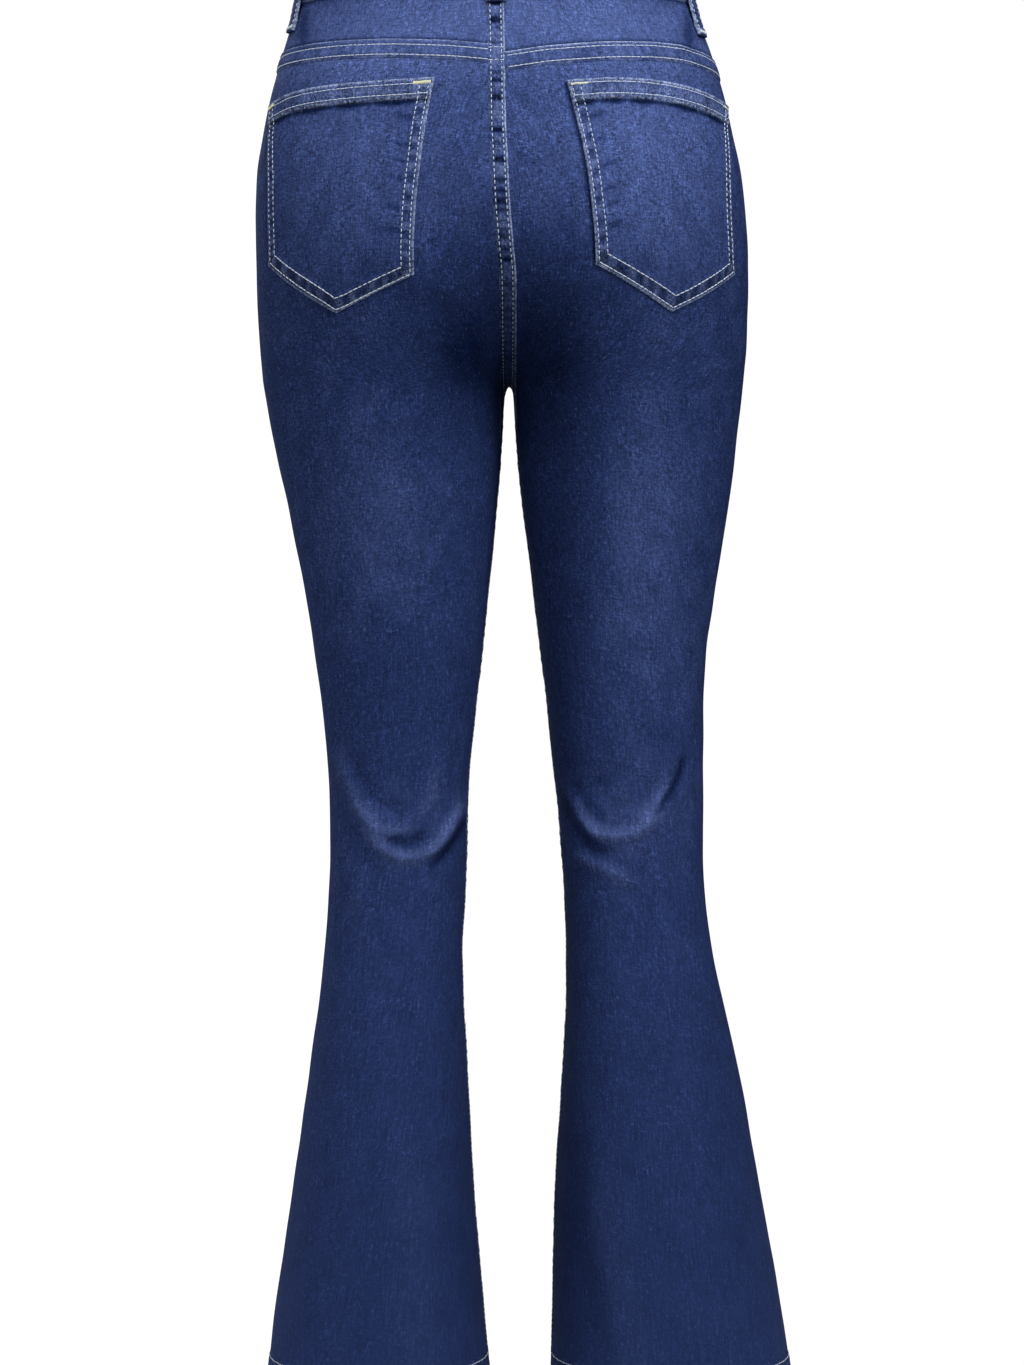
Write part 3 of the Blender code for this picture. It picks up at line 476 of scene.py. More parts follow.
class Tape:
    """Level tape distances from a centre seam, looked up as angles about a leg's axis."""

    def __init__(self, side, face, low, high):
        self.side, self.face = side, face
        self.low, self.step = low, 4 * MM
        self.count = int((high - low) / self.step) + 2
        self.reach = np.linspace(0, TAPE_LENGTH, 271)
        z = (low + self.step * np.arange(self.count))[:, None]
        end, _ = end_angle(side, face, z)
        start = -face * OUTSEAM_TURN
        angle = start + np.linspace(1.0, -TAPE_PAST, 181) * (end - start)
        length = run(wall(side, face, angle, z), 1)
        self.table = np.array([np.interp(self.reach, row, turn)
                               for row, turn in zip(length, angle)])

    def angle(self, across, z):
        """Angle at a tape distance and height."""
        across, z = np.broadcast_arrays(across, z)
        i = np.clip((z - self.low) / self.step, 0, self.count - 1.001)
        j = np.clip(across / self.reach[1], 0, len(self.reach) - 1.001)
        a, b = i.astype(int), j.astype(int)
        s, t = i - a, j - b
        table = self.table
        return ((table[a, b] * (1 - s) + table[a + 1, b] * s) * (1 - t)
                + (table[a, b + 1] * (1 - s) + table[a + 1, b + 1] * s) * t)

    def point(self, across, z):
        """Point of the body at a tape distance and height."""
        return wall(self.side, self.face, self.angle(across, z), z)


def fold_curve(fold, t):
    """Points of a fold's curve, through its four points."""
    w = (-(3 * t - 1) * (3 * t - 2) * (t - 1) / 2, 9 * t * (3 * t - 2) * (t - 1) / 2,
         -9 * t * (3 * t - 1) * (t - 1) / 2, t * (3 * t - 1) * (3 * t - 2) / 2)
    x = sum(k * fold[c] for k, c in zip(w, ("ax", "bx", "cx", "dx"))) * MM
    z = sum(k * fold[c] for k, c in zip(w, ("az", "bz", "cz", "dz"))) * MM
    return x, z


def along_curves(p, rows):
    """Sum of the rows' heights over points, each spread to both sides of its curve."""
    x, z = p[..., 0], p[..., 2]
    lift = np.zeros(x.shape)
    t = np.linspace(0, 1, 33)
    for fold in named(FOLD_COLUMNS, rows):
        cx, cz = fold_curve(fold, t)
        margin = 3 * max(fold["above"], fold["below"]) * MM
        near = ((x > cx.min() - margin) & (x < cx.max() + margin)
                & (z > cz.min() - margin) & (z < cz.max() + margin))
        px, pz = x[near][:, None], z[near][:, None]
        far = (px - cx) ** 2 + (pz - cz) ** 2
        i = far.argmin(1)
        k = np.clip(i, 1, len(t) - 2)
        tx, tz = cx[k + 1] - cx[k - 1], cz[k + 1] - cz[k - 1]
        size = np.hypot(tx, tz)
        off_x, off_z = px[:, 0] - cx[i], pz[:, 0] - cz[i]
        across = (tx * off_z - tz * off_x) / size
        along = (tx * off_x + tz * off_z) / size
        past = np.where((i == 0) | (i == len(t) - 1), along, 0.0)
        upper = (across * np.sign(tx)) > 0
        width = np.where(upper, fold["above"], fold["below"]) * MM
        end = soft(4.0 * t[i] + 0.12) * soft(4.0 * (1 - t[i]) + 0.12)
        shape = bump(across, width) * bump(past, width)
        lift[near] += fold["height"] * shape * end
    return lift


def fold_height(side, face, p, angle):
    """Height of the folds at points of a panel, dying out at its long seams."""
    return along_curves(p, FOLDS[side, face]) * MM * soft(3.5 * np.sin(angle))


def ripple(p):
    """Slight unevenness of worn cloth."""
    x, y, z = p[..., 0] / MM, p[..., 1] / MM, p[..., 2] / MM
    around = x + 0.6 * y
    waves = (np.sin(around / 9.3 + 1.7 * np.sin(z / 31)) * np.sin(z / 13.1 + 1.1)
             + 0.8 * np.sin(around / 17.0 - z / 23.0 + 2.0)
             + 0.6 * np.sin(z / 7.7 + 1.3 * np.sin(around / 19.0)) * np.sin(around / 11.0))
    return 0.16 * MM * waves


def fly_rise(from_centre, z):
    """Extra height of the doubled cloth over the fly."""
    near = soft((FLY_FULL - from_centre) / FLY_SLOPE)
    return FLY_RISE * near * soft((z - FLY_END + FLY_TAIL) / FLY_FADE + 1)


def cloth(side, face, angle, z, lap=0.0):
    """Outer face of the leg cloth with its folds, and its outward directions."""
    angle, z = np.broadcast_arrays(angle, z)
    p = wall(side, face, angle, z, lap)
    n = outward(p)
    lift = fold_height(side, face, p, angle) + ripple(p)
    if side > 0 and face < 0:
        lift = lift + fly_rise(p[..., 0] - column("middle", z), z)
    return raised(p, n, lift), n


def fade_and_shade_at(face, p):
    """Lighter and darker places of the cloth: partly real fading and partly painted light
    and shade.
    """
    fade_and_shade = np.zeros(p.shape[:-1])
    for x, z, wide, high, strength in FADES_AND_SHADES[face]:
        fade_and_shade += strength * bump(p[..., 0] / MM - x, wide) * bump(p[..., 2] / MM - z, high)
    return fade_and_shade


def pucker(along, pitch, seed, lean=0.0):
    """Uneven waves along a sewn seam, from -1 in its pits to 1 on its ropes."""
    turn = 2 * math.pi * along / pitch + lean
    return np.cos(turn + 1.1 * np.sin(turn / 5.3 + seed)
                  + 0.8 * np.sin(turn / 2.7 + 2 * seed))


# ---- meshes -----------------------------------------------------------------------
def grid_faces(rows, cols, start=0, turned=False):
    """Four-sided faces of a grid of points."""
    at = start + np.arange(rows * cols).reshape(rows, cols)
    quads = np.stack((at[:-1, :-1], at[:-1, 1:], at[1:, 1:], at[1:, :-1]), -1)
    quads = quads.reshape(-1, 4)
    return quads[:, ::-1] if turned else quads


def mesh_object(name, vertices, faces, layers, uv=None):
    """A mesh object from points and faces, with named values on its points."""
    mesh = bpy.data.meshes.new(name)
    mesh.from_pydata(vertices.tolist(), [], faces)
    for layer, values in layers.items():
        mesh.attributes.new(layer, "FLOAT", "POINT").data.foreach_set(
            "value", np.asarray(values, np.float32).ravel())
    if uv is not None:
        corner = np.empty(len(mesh.loops), np.int32)
        mesh.loops.foreach_get("vertex_index", corner)
        mesh.uv_layers.new(name="grain").data.foreach_set(
            "uv", np.asarray(uv, np.float32)[corner].ravel())
    mesh.shade_smooth()
    made = bpy.data.objects.new(name, mesh)
    bpy.context.scene.collection.objects.link(made)
    return made


def shell(name, outer, inner, grain, fade_and_shade, wear, face_slot, reverse_slot=None):
    """A thin sheet of cloth between an outer and an inner grid of points."""
    rows, cols = outer.shape[:2]
    count = rows * cols
    facing = np.cross(outer[0, 1] - outer[0, 0], outer[1, 0] - outer[0, 0])
    flip = float(np.dot(facing, (outer - inner)[0, 0])) < 0
    front = grid_faces(rows, cols, 0, not flip)
    back = grid_faces(rows, cols, count, flip)
    at = np.arange(count).reshape(rows, cols)
    rim = np.concatenate((at[0, :], at[1:, -1], at[-1, -2::-1], at[-2:0:-1, 0]))
    after = np.roll(rim, -1)
    edge = np.stack((after, rim, rim + count, after + count), -1)
    if flip:
        edge = edge[:, ::-1]
    both = np.concatenate((outer.reshape(-1, 3), inner.reshape(-1, 3)))
    uv = np.concatenate((grain.reshape(-1, 2),) * 2)
    layers = {"fade_and_shade": np.tile(fade_and_shade.ravel(), 2),
              "wear": np.concatenate((wear.ravel(), np.zeros(count)))}
    made = mesh_object(name, both, np.concatenate((front, back, edge)).tolist(), layers, uv)
    made.data.materials.append(finish(face_slot))
    if reverse_slot:
        made.data.materials.append(finish(reverse_slot))
        index = np.zeros(len(made.data.polygons), np.int32)
        index[len(front):len(front) + len(back)] = 1
        made.data.polygons.foreach_set("material_index", index)
    tidy_normals(made)
    return made


def tidy_normals(made):
    """Point every face of a closed mesh outwards."""
    form = bmesh.new()
    form.from_mesh(made.data)
    bmesh.ops.recalc_face_normals(form, faces=form.faces)
    form.to_mesh(made.data)
    form.free()


def grain_map(p, middle):
    """Cloth grain: distances across from a column and down from the top."""
    across = run(p, 1)
    return np.stack((across - across[:, middle:middle + 1], -run(p)), -1)


def cloth_piece(node, outer, inner, grain, looks, slot, reverse=None):
    """A sheet of cloth that replaces a node of the frame."""
    made = shell(node + "_cloth", outer, inner, grain, *looks, slot, reverse)
    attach(made, "root")
    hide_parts(node)


def sewn_piece(made):
    """A small sewn piece rides on the garment."""
    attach(made, "root")


# ---- sewing -----------------------------------------------------------------------
def model_stitch(thread, length):
    """One stitch: a short thread, bowed so that both ends dive into the cloth."""
    bpy.ops.object.select_all(action="DESELECT")
    bpy.ops.mesh.primitive_uv_sphere_add(segments=6, ring_count=5, radius=1.0)
    made = bpy.context.object
    bpy.ops.object.mode_set(mode="EDIT")
    bpy.ops.mesh.select_all(action="SELECT")
    bpy.ops.transform.rotate(value=math.pi / 2, orient_axis="Y",
                             center_override=(0, 0, 0))
    bpy.ops.transform.resize(value=(length / 2, thread, thread),
                             center_override=(0, 0, 0))
    bpy.ops.object.mode_set(mode="OBJECT")
    points = np.array([v.co[:] for v in made.data.vertices])
    faces = [list(f.vertices) for f in made.data.polygons]
    mesh = made.data
    bpy.data.objects.remove(made, do_unlink=True)
    bpy.data.meshes.remove(mesh)
    reach = np.abs(points[:, 0]) / (length / 2)
    fuller = np.where(reach < 0.9, np.sqrt(np.maximum(1 - reach ** 4, 0)), 1.0)
    scale = np.where(reach < 0.9, fuller / np.sqrt(np.maximum(1 - reach ** 2, 0.01)), 1.0)
    points[:, 1] *= scale
    points[:, 2] *= scale
    points[:, 2] -= 1.1 * thread * reach ** 2
    return points, faces


def evenly(points, pitch):
    """Centres and directions at an even pitch along a line of points."""
    length = run(points)
    count = max(1, int(length[-1] / pitch))
    at = (np.arange(count) + 0.5) * length[-1] / count
    ahead, behind = (along_line(at + s * pitch / 3, length, points) for s in (1, -1))
    return along_line(at, length, points), unit(ahead - behind), at / length[-1]


def stitched(name, rows, pitch=None, length=None, thread=None, crosswise=False):
    """Rows of stitches; each row is its points, its outward directions and its gold."""
    size = bpy.context.scene.jeans_sewing
    pitch = pitch or size.stitch_pitch
    length = length or size.stitch_length
    thread = thread or size.thread_radius
    model, model_faces = model_stitch(thread, length)
    rng = np.random.default_rng(len(name) * 31 + len(rows))
    vertices, faces, gold, painted_shade, start = [], [], [], [], 0
    for points, normals, tone in rows:
        centre, way, at = evenly(points, pitch)
        length_here = run(points)
        up = unit(along_line(at, length_here / length_here[-1], normals))
        side = unit(np.cross(up, way))
        way = np.cross(side, up)
        if crosswise:
            way, side = side, -way
        lean = rng.normal(0, STITCH_SPREAD, len(centre))[:, None]
        way, side = way + lean * side, side - lean * way
        stretch = 1 + rng.normal(0, STITCH_SPREAD, len(centre))[:, None, None]
        placed = (centre[:, None] + model[None, :, :1] * way[:, None] * stretch
                  + model[None, :, 1:2] * side[:, None] + model[None, :, 2:] * up[:, None])
        vertices.append(placed.reshape(-1, 3))
        tones = np.clip(tone + rng.normal(0, TONE_SPREAD, len(centre)), 0, 1)
        gold.append(np.repeat(tones, len(model)))
        face = 1 if centre[:, 1].mean() > 0 else -1
        # Painted shade: a thread darkens where the cloth around it is painted darker.
        painted_shade.append(np.repeat(np.clip(-fade_and_shade_at(face, centre), 0, 1), len(model)))
        for _ in centre:
            faces += [[start + i for i in f] for f in model_faces]
            start += len(model)
    made = mesh_object(name, np.concatenate(vertices), faces,
                       {"gold": np.concatenate(gold), "painted_shade": np.concatenate(painted_shade)})
    made.data.materials.append(finish("thread"))
    sewn_piece(made)


class Track:
    """A sewn line on the cloth: points and directions by distance along and across."""

    def __init__(self, length, place):
        self.length = length
        self.place = place

    def row(self, start, stop, across, height, gold=0.0):
        """A row of stitches along the line, at a distance across it."""
        along = np.linspace(start, stop, max(8, int((stop - start) / (3 * MM))))
        p, n = self.place(along, np.full(along.shape, across))
        lift = height(along, across) if callable(height) else height
        return raised(p, n, np.broadcast_to(lift, along.shape)), n, gold

    def strip(self, name, start, stop, low, high, height, spacing=1.1 * MM, face=1):
        """A raised strip of folded cloth over the line."""
        rows = int((stop - start) / spacing)
        along = np.linspace(start, stop, rows)[:, None]
        shape = np.sin(np.linspace(-math.pi / 2, math.pi / 2, 17)) * 0.5 + 0.5
        across = low + (high - low) * (0.35 * shape + 0.65 * np.linspace(0, 1, 17))
        along, across = np.broadcast_arrays(along, across)
        p, n = self.place(along, across)
        lift, fade_and_shade, wear = height(along, across)
        inner = raised(p, n, np.minimum(lift - 0.04 * MM, 0.05 * MM))
        # The body's fades and painted light and shade carry onto the seam, and its pale
        # worn edges are dimmed where shade is painted.
        under = fade_and_shade_at(face, p)
        wear = wear * np.clip(1 + 1.1 * under, 0.08, 1)
        sewn_piece(shell(name, raised(p, n, lift), inner, np.stack((across, -along), -1),
                         fade_and_shade + under, wear, "denim_trim"))


def mottle(along, across):
    """Uneven abrasion along a seam, from -1 to 1."""
    a, b = along / MM, across / MM
    return (np.sin(a / 1.9 + 2.0 * np.sin(b / 1.3)) * np.sin(a / 3.7 + b / 1.1)
            + np.sin(a / 7.3 + 1.0) * 0.5) / 1.5


def felled(low, high, pitch, seed, rise, rows, depth, pits=(), worn=1.0):
    """Height, fade with painted shade, and wear of a felled seam, its fold along its low
    side.
    """
    width = high - low

    def height(along, across):
        from_edge = across - low
        u = np.clip(from_edge / width, 0, 1)
        fold = np.sqrt(np.clip(from_edge / (0.9 * MM), 0, 1)) * 0.85
        flat = soft((1 - u) * width / (2.6 * MM))
        body = rise * np.minimum(fold + 0.15, flat)
        dips = np.minimum(sum(bump(across - r, 0.9 * MM) for r in rows), 1)
        mid, half = (rows[0] + rows[1]) / 2, abs(rows[1] - rows[0]) / 2
        between = soft(1.4 - np.abs(across - mid) / half)
        rope = pucker(along, pitch, seed, 0.5 * across / (3 * MM))
        uneven = 0.75 + 0.5 * np.sin(along / (23 * MM) + seed)
        dent = np.zeros(along.shape)
        for place, deep, half_length in pits:
            dent = np.maximum(dent, deep * bump(along / MM - place, half_length))
        if pits:
            rope, uneven = np.clip(0.3 * rope + 0.45 - 2.0 * dent, -1, 1), 1.0
        lift = body * (1 - 0.38 * dips) + 0.30 * rise * rope * between * flat * uneven
        spots = mottle(along, across)
        sunk = np.clip(-rope - 0.05, 0, 1)
        ribs = pucker(along, 2.5 * MM, seed + 9)
        # Lighter on the ropes with wear; painted shade in the pits of the puckers, in the
        # pressed pits and along the rows of stitches.
        fade_and_shade = depth * uneven * between * (0.24 * rope - 0.75 * sunk) + 0.14 * spots
        fade_and_shade += 0.09 * ribs * between - 0.20 * dips - 1.6 * dent * between
        outside = bump(from_edge - 0.5 * MM, 0.85 * MM)
        wear = worn * outside * (1.0 + 0.30 * spots) * (1 - 0.5 * dent)
        wear += between * depth * (0.03 + 0.22 * np.clip(rope, 0, 1) + 0.10 * spots)
        wear += 0.25 * bump(1 - u, 0.12) * (0.5 + spots)
        return np.maximum(lift, THIN), fade_and_shade, np.clip(wear, 0, 1)

    return height


def centre_track(face):
    """The seat seam (or front seam) from the band down and under to the crotch."""
    z = np.linspace(PANEL_TOP, SEAM_TURN, 150)
    dip = np.linspace(0, math.pi / 2, 110)[1:]
    height = np.append(z, np.full(dip.shape, SEAM_TURN))
    x, y = column("middle", height), leg_axis(1, height)[1]
    dy = np.append(np.full(z.shape, float(face)), face * np.cos(dip))
    dz = np.append(np.zeros(z.shape), -np.sin(dip))
    length = run(cast(x, y, height, 0.0, dy, dz))

    def place(along, across):
        a, b, c, d, e = (np.interp(along, length, v) for v in (x, y, height, dy, dz))
        size = np.hypot(d, e)
        q = cast(a + across, b, c, 0.0, d / size, e / size)
        n = outward(q)
        lift = ripple(q)
        if face < 0:
            lift = lift + fly_rise(q[..., 0] - column("middle", q[..., 2]), q[..., 2])
        return raised(q, n, lift), n

    return Track(length[-1], place)


def level_track(side, face, height, end, away, count):
    """A line round one face of a leg, from the side seam to its other long seam."""
    start = -face * OUTSEAM_TURN
    share = np.linspace(0, 1, count)

    def angle(s, z):
        return start + s * (end(z) - start)

    length = run(wall(side, face, angle(share, height(share)), height(share)))

    def place(along, across):
        s = np.interp(along, length, share)
        z = height(s) + away * across
        return cloth(side, face, angle(s, z), z)

    return Track(length[-1], place)


def yoke_track(side):
    """The yoke seam, from the side seam to the seat seam."""
    return level_track(side, 1, lambda s: yoke_height(side, s),
                       lambda z: end_angle(side, 1, z)[0], -1, 120)


def hem_track(side, face):
    """The leg opening on one face, from the side seam to the inner seam."""
    return level_track(side, face, lambda s: np.full(s.shape, HEM_BOTTOM),
                       lambda z: math.pi, 1, 140)


def inseam_track(side):
    """The inner leg seam from the hem up to the crotch."""
    top = CROTCH - 3 * MM

    def place(along, across):
        z = HEM_BOTTOM + 0.5 * MM + along
        turn = across / (side * leg_axis(side, z)[0] - column(name_of(side) + "_in", z))
        back, nb = cloth(side, 1, math.pi - np.maximum(turn, 0), z)
        front, nf = cloth(side, -1, math.pi + np.minimum(turn, 0), z)
        behind = (across >= 0)[..., None]
        return np.where(behind, back, front), np.where(behind, nb, nf)

    return Track(top - HEM_BOTTOM - 0.5 * MM, place)


def scoop(z):
    """Distance of the front pocket's edge from the side seam at a height."""
    t = np.clip((BAND_BOTTOM - z) / SCOOP_DROP, 0, 1)
    return SCOOP_WIDTH * (1 - t ** 1.8)


def scoop_track(side):
    """The edge of a front pocket's opening, from the band to the side seam."""
    t = np.linspace(0.0, 1.0, 90)
    z = BAND_BOTTOM - SCOOP_DROP * t
    angle = OUTSEAM_TURN + scoop(z) / SCOOP_RADIUS
    length = run(wall(side, -1, angle, z))
    way = unit(np.gradient(np.stack((angle * SCOOP_RADIUS, z), -1), axis=0))
    out = np.stack((-way[:, 1], way[:, 0]), -1)
    out *= np.sign(out[:1, :1])
    line = np.column_stack((angle, z, out))

    def place(along, across):
        a, h, ox, oz = along_line(along, length, line).T
        return cloth(side, -1, a + across * ox / SCOOP_RADIUS, h + across * oz)

    return Track(length[-1], place)


# ---- finishes ---------------------------------------------------------------------
def wired(tree, kind, inputs=None, **settings):
    """Add a node; inputs are values or output sockets by name or number."""
    made = tree.nodes.new(kind)
    for key, value in settings.items():
        setattr(made, key, value)
    for key, value in (inputs or {}).items():
        if isinstance(value, bpy.types.NodeSocket):
            tree.links.new(value, made.inputs[key])
        else:
            made.inputs[key].default_value = value
    return made


def group_of(name, inputs, outputs):
    """A new node group with named sockets: (name, kind, default)."""
    group = bpy.data.node_groups.new(name, "ShaderNodeTree")
    for label, kind, default in inputs:
        socket = group.interface.new_socket(label, in_out="INPUT", socket_type=kind)
        if default is not None:
            socket.default_value = default
    for label, kind in outputs:
        group.interface.new_socket(label, in_out="OUTPUT", socket_type=kind)
    return group, group.nodes.new("NodeGroupInput"), group.nodes.new("NodeGroupOutput")


def maths(tree, operation, a, b=0.0, c=0.0):
    """A maths node's result."""
    made = wired(tree, "ShaderNodeMath", {0: a, 1: b, 2: c}, operation=operation)
    return made.outputs[0]


def scaled(tree, a, b, c=None):
    """One value times another, with a third added if there is one."""
    if c is None:
        return maths(tree, "MULTIPLY", a, b)
    return maths(tree, "MULTIPLY_ADD", a, b, c)


def stretched_noise(tree, vector, across, along, detail=2.0, rough=0.5):
    """Noise whose grains have a size across and along the cloth, in metres."""
    scaled = wired(tree, "ShaderNodeVectorMath",
                   {0: vector, 1: (1 / across, 1 / along, 0.0)}, operation="MULTIPLY")
    noise = wired(tree, "ShaderNodeTexNoise", {"Vector": scaled.outputs[0], "Scale": 1.0,
                                               "Detail": detail, "Roughness": rough})
    return noise.outputs["Fac"]


def ranged(tree, value, low, high, to_low=0.0, to_high=1.0):
    """A value's range carried over to another one."""
    made = wired(tree, "ShaderNodeMapRange", {"Value": value, "From Min": low,
                                              "From Max": high, "To Min": to_low,
                                              "To Max": to_high})
    return made.outputs[0]


def spread(tree, value, gain):
    """Noise stretched about its middle, from -1 to 1."""
    return ranged(tree, value, 0.5 - 0.5 / gain, 0.5 + 0.5 / gain, -1.0, 1.0)


def mixed(tree, share, first, second, clamp=True):
    """Two colours mixed by a share."""
    made = wired(tree, "ShaderNodeMix", {0: share, 6: first, 7: second},
                 data_type="RGBA", clamp_factor=clamp)
    return made.outputs[2]


def value_of(tree, layer):
    """A named value of the mesh's points."""
    return wired(tree, "ShaderNodeAttribute", attribute_name=layer).outputs["Fac"]


def noise_of(tree, scale, detail):
    """Noise through the object's own space."""
    place = wired(tree, "ShaderNodeTexCoord")
    return wired(tree, "ShaderNodeTexNoise", {"Vector": place.outputs["Object"],
                                              "Scale": scale,
                                              "Detail": detail}).outputs["Fac"]


def relief(tree, surface, height, strength, distance=0.0002):
    """Give a surface the relief of a height."""
    made = wired(tree, "ShaderNodeBump", {"Height": height, "Strength": strength,
                                          "Distance": distance})
    tree.links.new(made.outputs["Normal"], surface.inputs["Normal"])


# Unevenness of the cloth: its name and gain, its size across and along in metres, and
# the detail and roughness of its noise.
CLOTH_NOISE = (
    ("warp", 2.4, 0.0015, 0.0044, 2.0, 0.6),
    ("weft", 2.4, 0.0040, 0.0015, 1.0),
    ("fuzz", 2.4, 0.0010, 0.0014, 1.0),
    ("slub", 2.2, 0.0016, 0.022, 2.0),
    ("wisp", 2.6, 0.009, 0.016, 5.0, 0.66),
    ("cloud", 2.4, 0.022, 0.034, 3.0, 0.6),
    ("patch", 2.0, 0.016, 0.020, 1.0),
    ("blot", 2.6, 0.0028, 0.0042, 2.0),
)
TWILL_PITCH = 1.1 * MM
DARKEST = (0.05, 0.17, 0.26)    # of the dye's red, green and blue, in the deepest painted shade


@cache
def denim_threads():
    """Slubby warp and weft threads: shade, light flecks, soft clouds and a fine relief."""
    group, start, end = group_of(
        "Denim Threads",
        (("Grain", "NodeSocketVector", None), ("Contrast", "NodeSocketFloat", 1.0)),
        [(label, "NodeSocketFloat") for label in ("Shade", "Fleck", "Cloud", "Height")])
    grain = start.outputs["Grain"]
    noise = {word: spread(group, stretched_noise(group, grain, *sizes), gain)
             for word, gain, *sizes in CLOTH_NOISE}
    split = wired(group, "ShaderNodeSeparateXYZ", {0: grain})
    across, height = split.outputs["X"], split.outputs["Y"]
    lower = ranged(group, height, -0.95, -0.05, 0.45, 1.50)
    streak = ranged(group, height, -0.90, -0.30, 0.34, 0.10)
    tone = scaled(group, scaled(group, noise["blot"], 0.6, noise["slub"]), streak)
    for word, share in (("wisp", 0.15), ("fuzz", 0.25), ("weft", 0.20), ("warp", 0.27)):
        tone = scaled(group, noise[word], share, tone)
    tone = scaled(group, scaled(group, tone, tone), 0.70, tone)
    patches = scaled(group, noise["patch"], 0.35, 1.0)
    strength = scaled(group, start.outputs["Contrast"], scaled(group, lower, patches))
    sparse = ranged(group, maths(group, "ADD", noise["blot"], noise["warp"]), 0.85, 1.9)
    diagonal = maths(group, "ADD", across, height)
    twill = maths(group, "SINE", scaled(group, diagonal, 2 * math.pi / TWILL_PITCH))
    for label, value in (("Shade", scaled(group, tone, strength, 1.0)),
                         ("Fleck", scaled(group, sparse, strength)),
                         ("Cloud", noise["cloud"]),
                         ("Height", scaled(group, twill, 0.15, tone))):
        group.links.new(value, end.inputs[label])
    return group


@cache
def indigo_dye_and_shade():
    """Ring-dyed colour: dark dye, darker still where shade is painted, lighter where faded
    and where light is painted, pale where the edges wear.
    """
    numbers = (("Shade", 1.0), ("Fleck", 0.0), ("Cloud", 0.0), ("Fade", 0.0), ("Wear", 0.0))
    colours = (("Dark", (0.004, 0.007, 0.030, 1)), ("Dye", (0.018, 0.030, 0.110, 1)),
               ("Light", (0.10, 0.15, 0.36, 1)), ("Pale", (0.30, 0.38, 0.58, 1)))
    group, start, end = group_of(
        "Indigo Dye and Shade", [(label, "NodeSocketFloat", default) for label, default in numbers]
        + [(label, "NodeSocketColor", default) for label, default in colours],
        (("Colour", "NodeSocketColor"), ("Roughness", "NodeSocketFloat")))
    read = start.outputs
    tone = scaled(group, read["Cloud"], 0.05, 0.5)
    tone = scaled(group, read["Fade"], 0.5, tone)
    ramp = mixed(group, scaled(group, tone, 2.0), read["Dark"], read["Dye"])
    ramp = mixed(group, scaled(group, tone, 2.0, -1.0), ramp, read["Light"])
    woven = wired(group, "ShaderNodeVectorMath", {0: ramp, "Scale": read["Shade"]},
                  operation="SCALE")
    specks = scaled(group, read["Fleck"], 0.07)
    bright = mixed(group, specks, woven.outputs[0], read["Pale"])
    patchy = scaled(group, read["Shade"], 1.5, -0.75)
    worn = scaled(group, read["Wear"], patchy)
    group.links.new(mixed(group, worn, bright, read["Pale"]), end.inputs["Colour"])
    rough = scaled(group, read["Shade"], 0.05, 0.85)
    group.links.new(rough, end.inputs["Roughness"])
    return group


def shading(name):
    """A new material, its tree and its surface shader."""
    made = bpy.data.materials.new(name)
    made.use_nodes = True
    tree = made.node_tree
    return made, tree, tree.nodes["Principled BSDF"]


def denim(name, dye, light, contrast=1.0, shift=0.0):
    """Worn denim that follows a piece's grain, its fades with painted light and shade, and
    its wear.
    """
    made, tree, surface = shading(name)
    grain = wired(tree, "ShaderNodeUVMap", uv_map="grain")
    threads = wired(tree, "ShaderNodeGroup", node_tree=denim_threads())
    tree.links.new(grain.outputs["UV"], threads.inputs["Grain"])
    threads.inputs["Contrast"].default_value = contrast
    dyed = wired(tree, "ShaderNodeGroup", node_tree=indigo_dye_and_shade())
    for label in ("Shade", "Fleck", "Cloud"):
        tree.links.new(threads.outputs[label], dyed.inputs[label])
    tree.links.new(maths(tree, "ADD", value_of(tree, "fade_and_shade"), shift), dyed.inputs["Fade"])
    tree.links.new(value_of(tree, "wear"), dyed.inputs["Wear"])
    dark = [d * share for d, share in zip(dye, DARKEST)]
    for label, colour in (("Dark", dark), ("Dye", dye), ("Light", light),
                          ("Pale", bpy.context.scene.jeans_colours.worn)):
        dyed.inputs[label].default_value = (*colour, 1)
    tree.links.new(dyed.outputs["Colour"], surface.inputs["Base Color"])
    tree.links.new(dyed.outputs["Roughness"], surface.inputs["Roughness"])
    relief(tree, surface, threads.outputs["Height"], 0.5, 0.0005)
    surface.inputs["Specular IOR Level"].default_value = 0.06
    return made


def thread_finish():
    """Twisted cotton thread, from pale cream to gold, darkened with painted shade."""
    made, tree, surface = shading("thread")
    colours = bpy.context.scene.jeans_colours
    base = mixed(tree, value_of(tree, "gold"), (*colours.thread, 1),
                 (*colours.gold_thread, 1))
    grimy = mixed(tree, scaled(tree, noise_of(tree, 320.0, 2.0), 0.7), base,
                  (0.30, 0.33, 0.38, 1))
    # Painted shade, following the cloth's painted shade around the thread.
    in_shade = mixed(tree, scaled(tree, value_of(tree, "painted_shade"), 1.1), grimy,
                    (0.06, 0.09, 0.17, 1))
    tree.links.new(in_shade, surface.inputs["Base Color"])
    place = wired(tree, "ShaderNodeTexCoord")
    ply = wired(tree, "ShaderNodeTexWave", {"Vector": place.outputs["Object"],
                                            "Scale": 900.0, "Distortion": 2.0})
    relief(tree, surface, ply.outputs["Fac"], 0.3)
    surface.inputs["Roughness"].default_value = 0.62
    surface.inputs["Sheen Weight"].default_value = 0.2
    return made


def metal_finish():
    """Aged nickel with fine scratches and darker patches."""
    made, tree, surface = shading("button_metal_aged")
    cloud = noise_of(tree, 420.0, 4.0)
    tone = mixed(tree, cloud, (0.22, 0.20, 0.17, 1), (0.60, 0.57, 0.52, 1))
    tree.links.new(tone, surface.inputs["Base Color"])
    tree.links.new(ranged(tree, cloud, 0.0, 1.0, 0.28, 0.5), surface.inputs["Roughness"])
    relief(tree, surface, cloud, 0.15)
    surface.inputs["Metallic"].default_value = 1.0
    return made


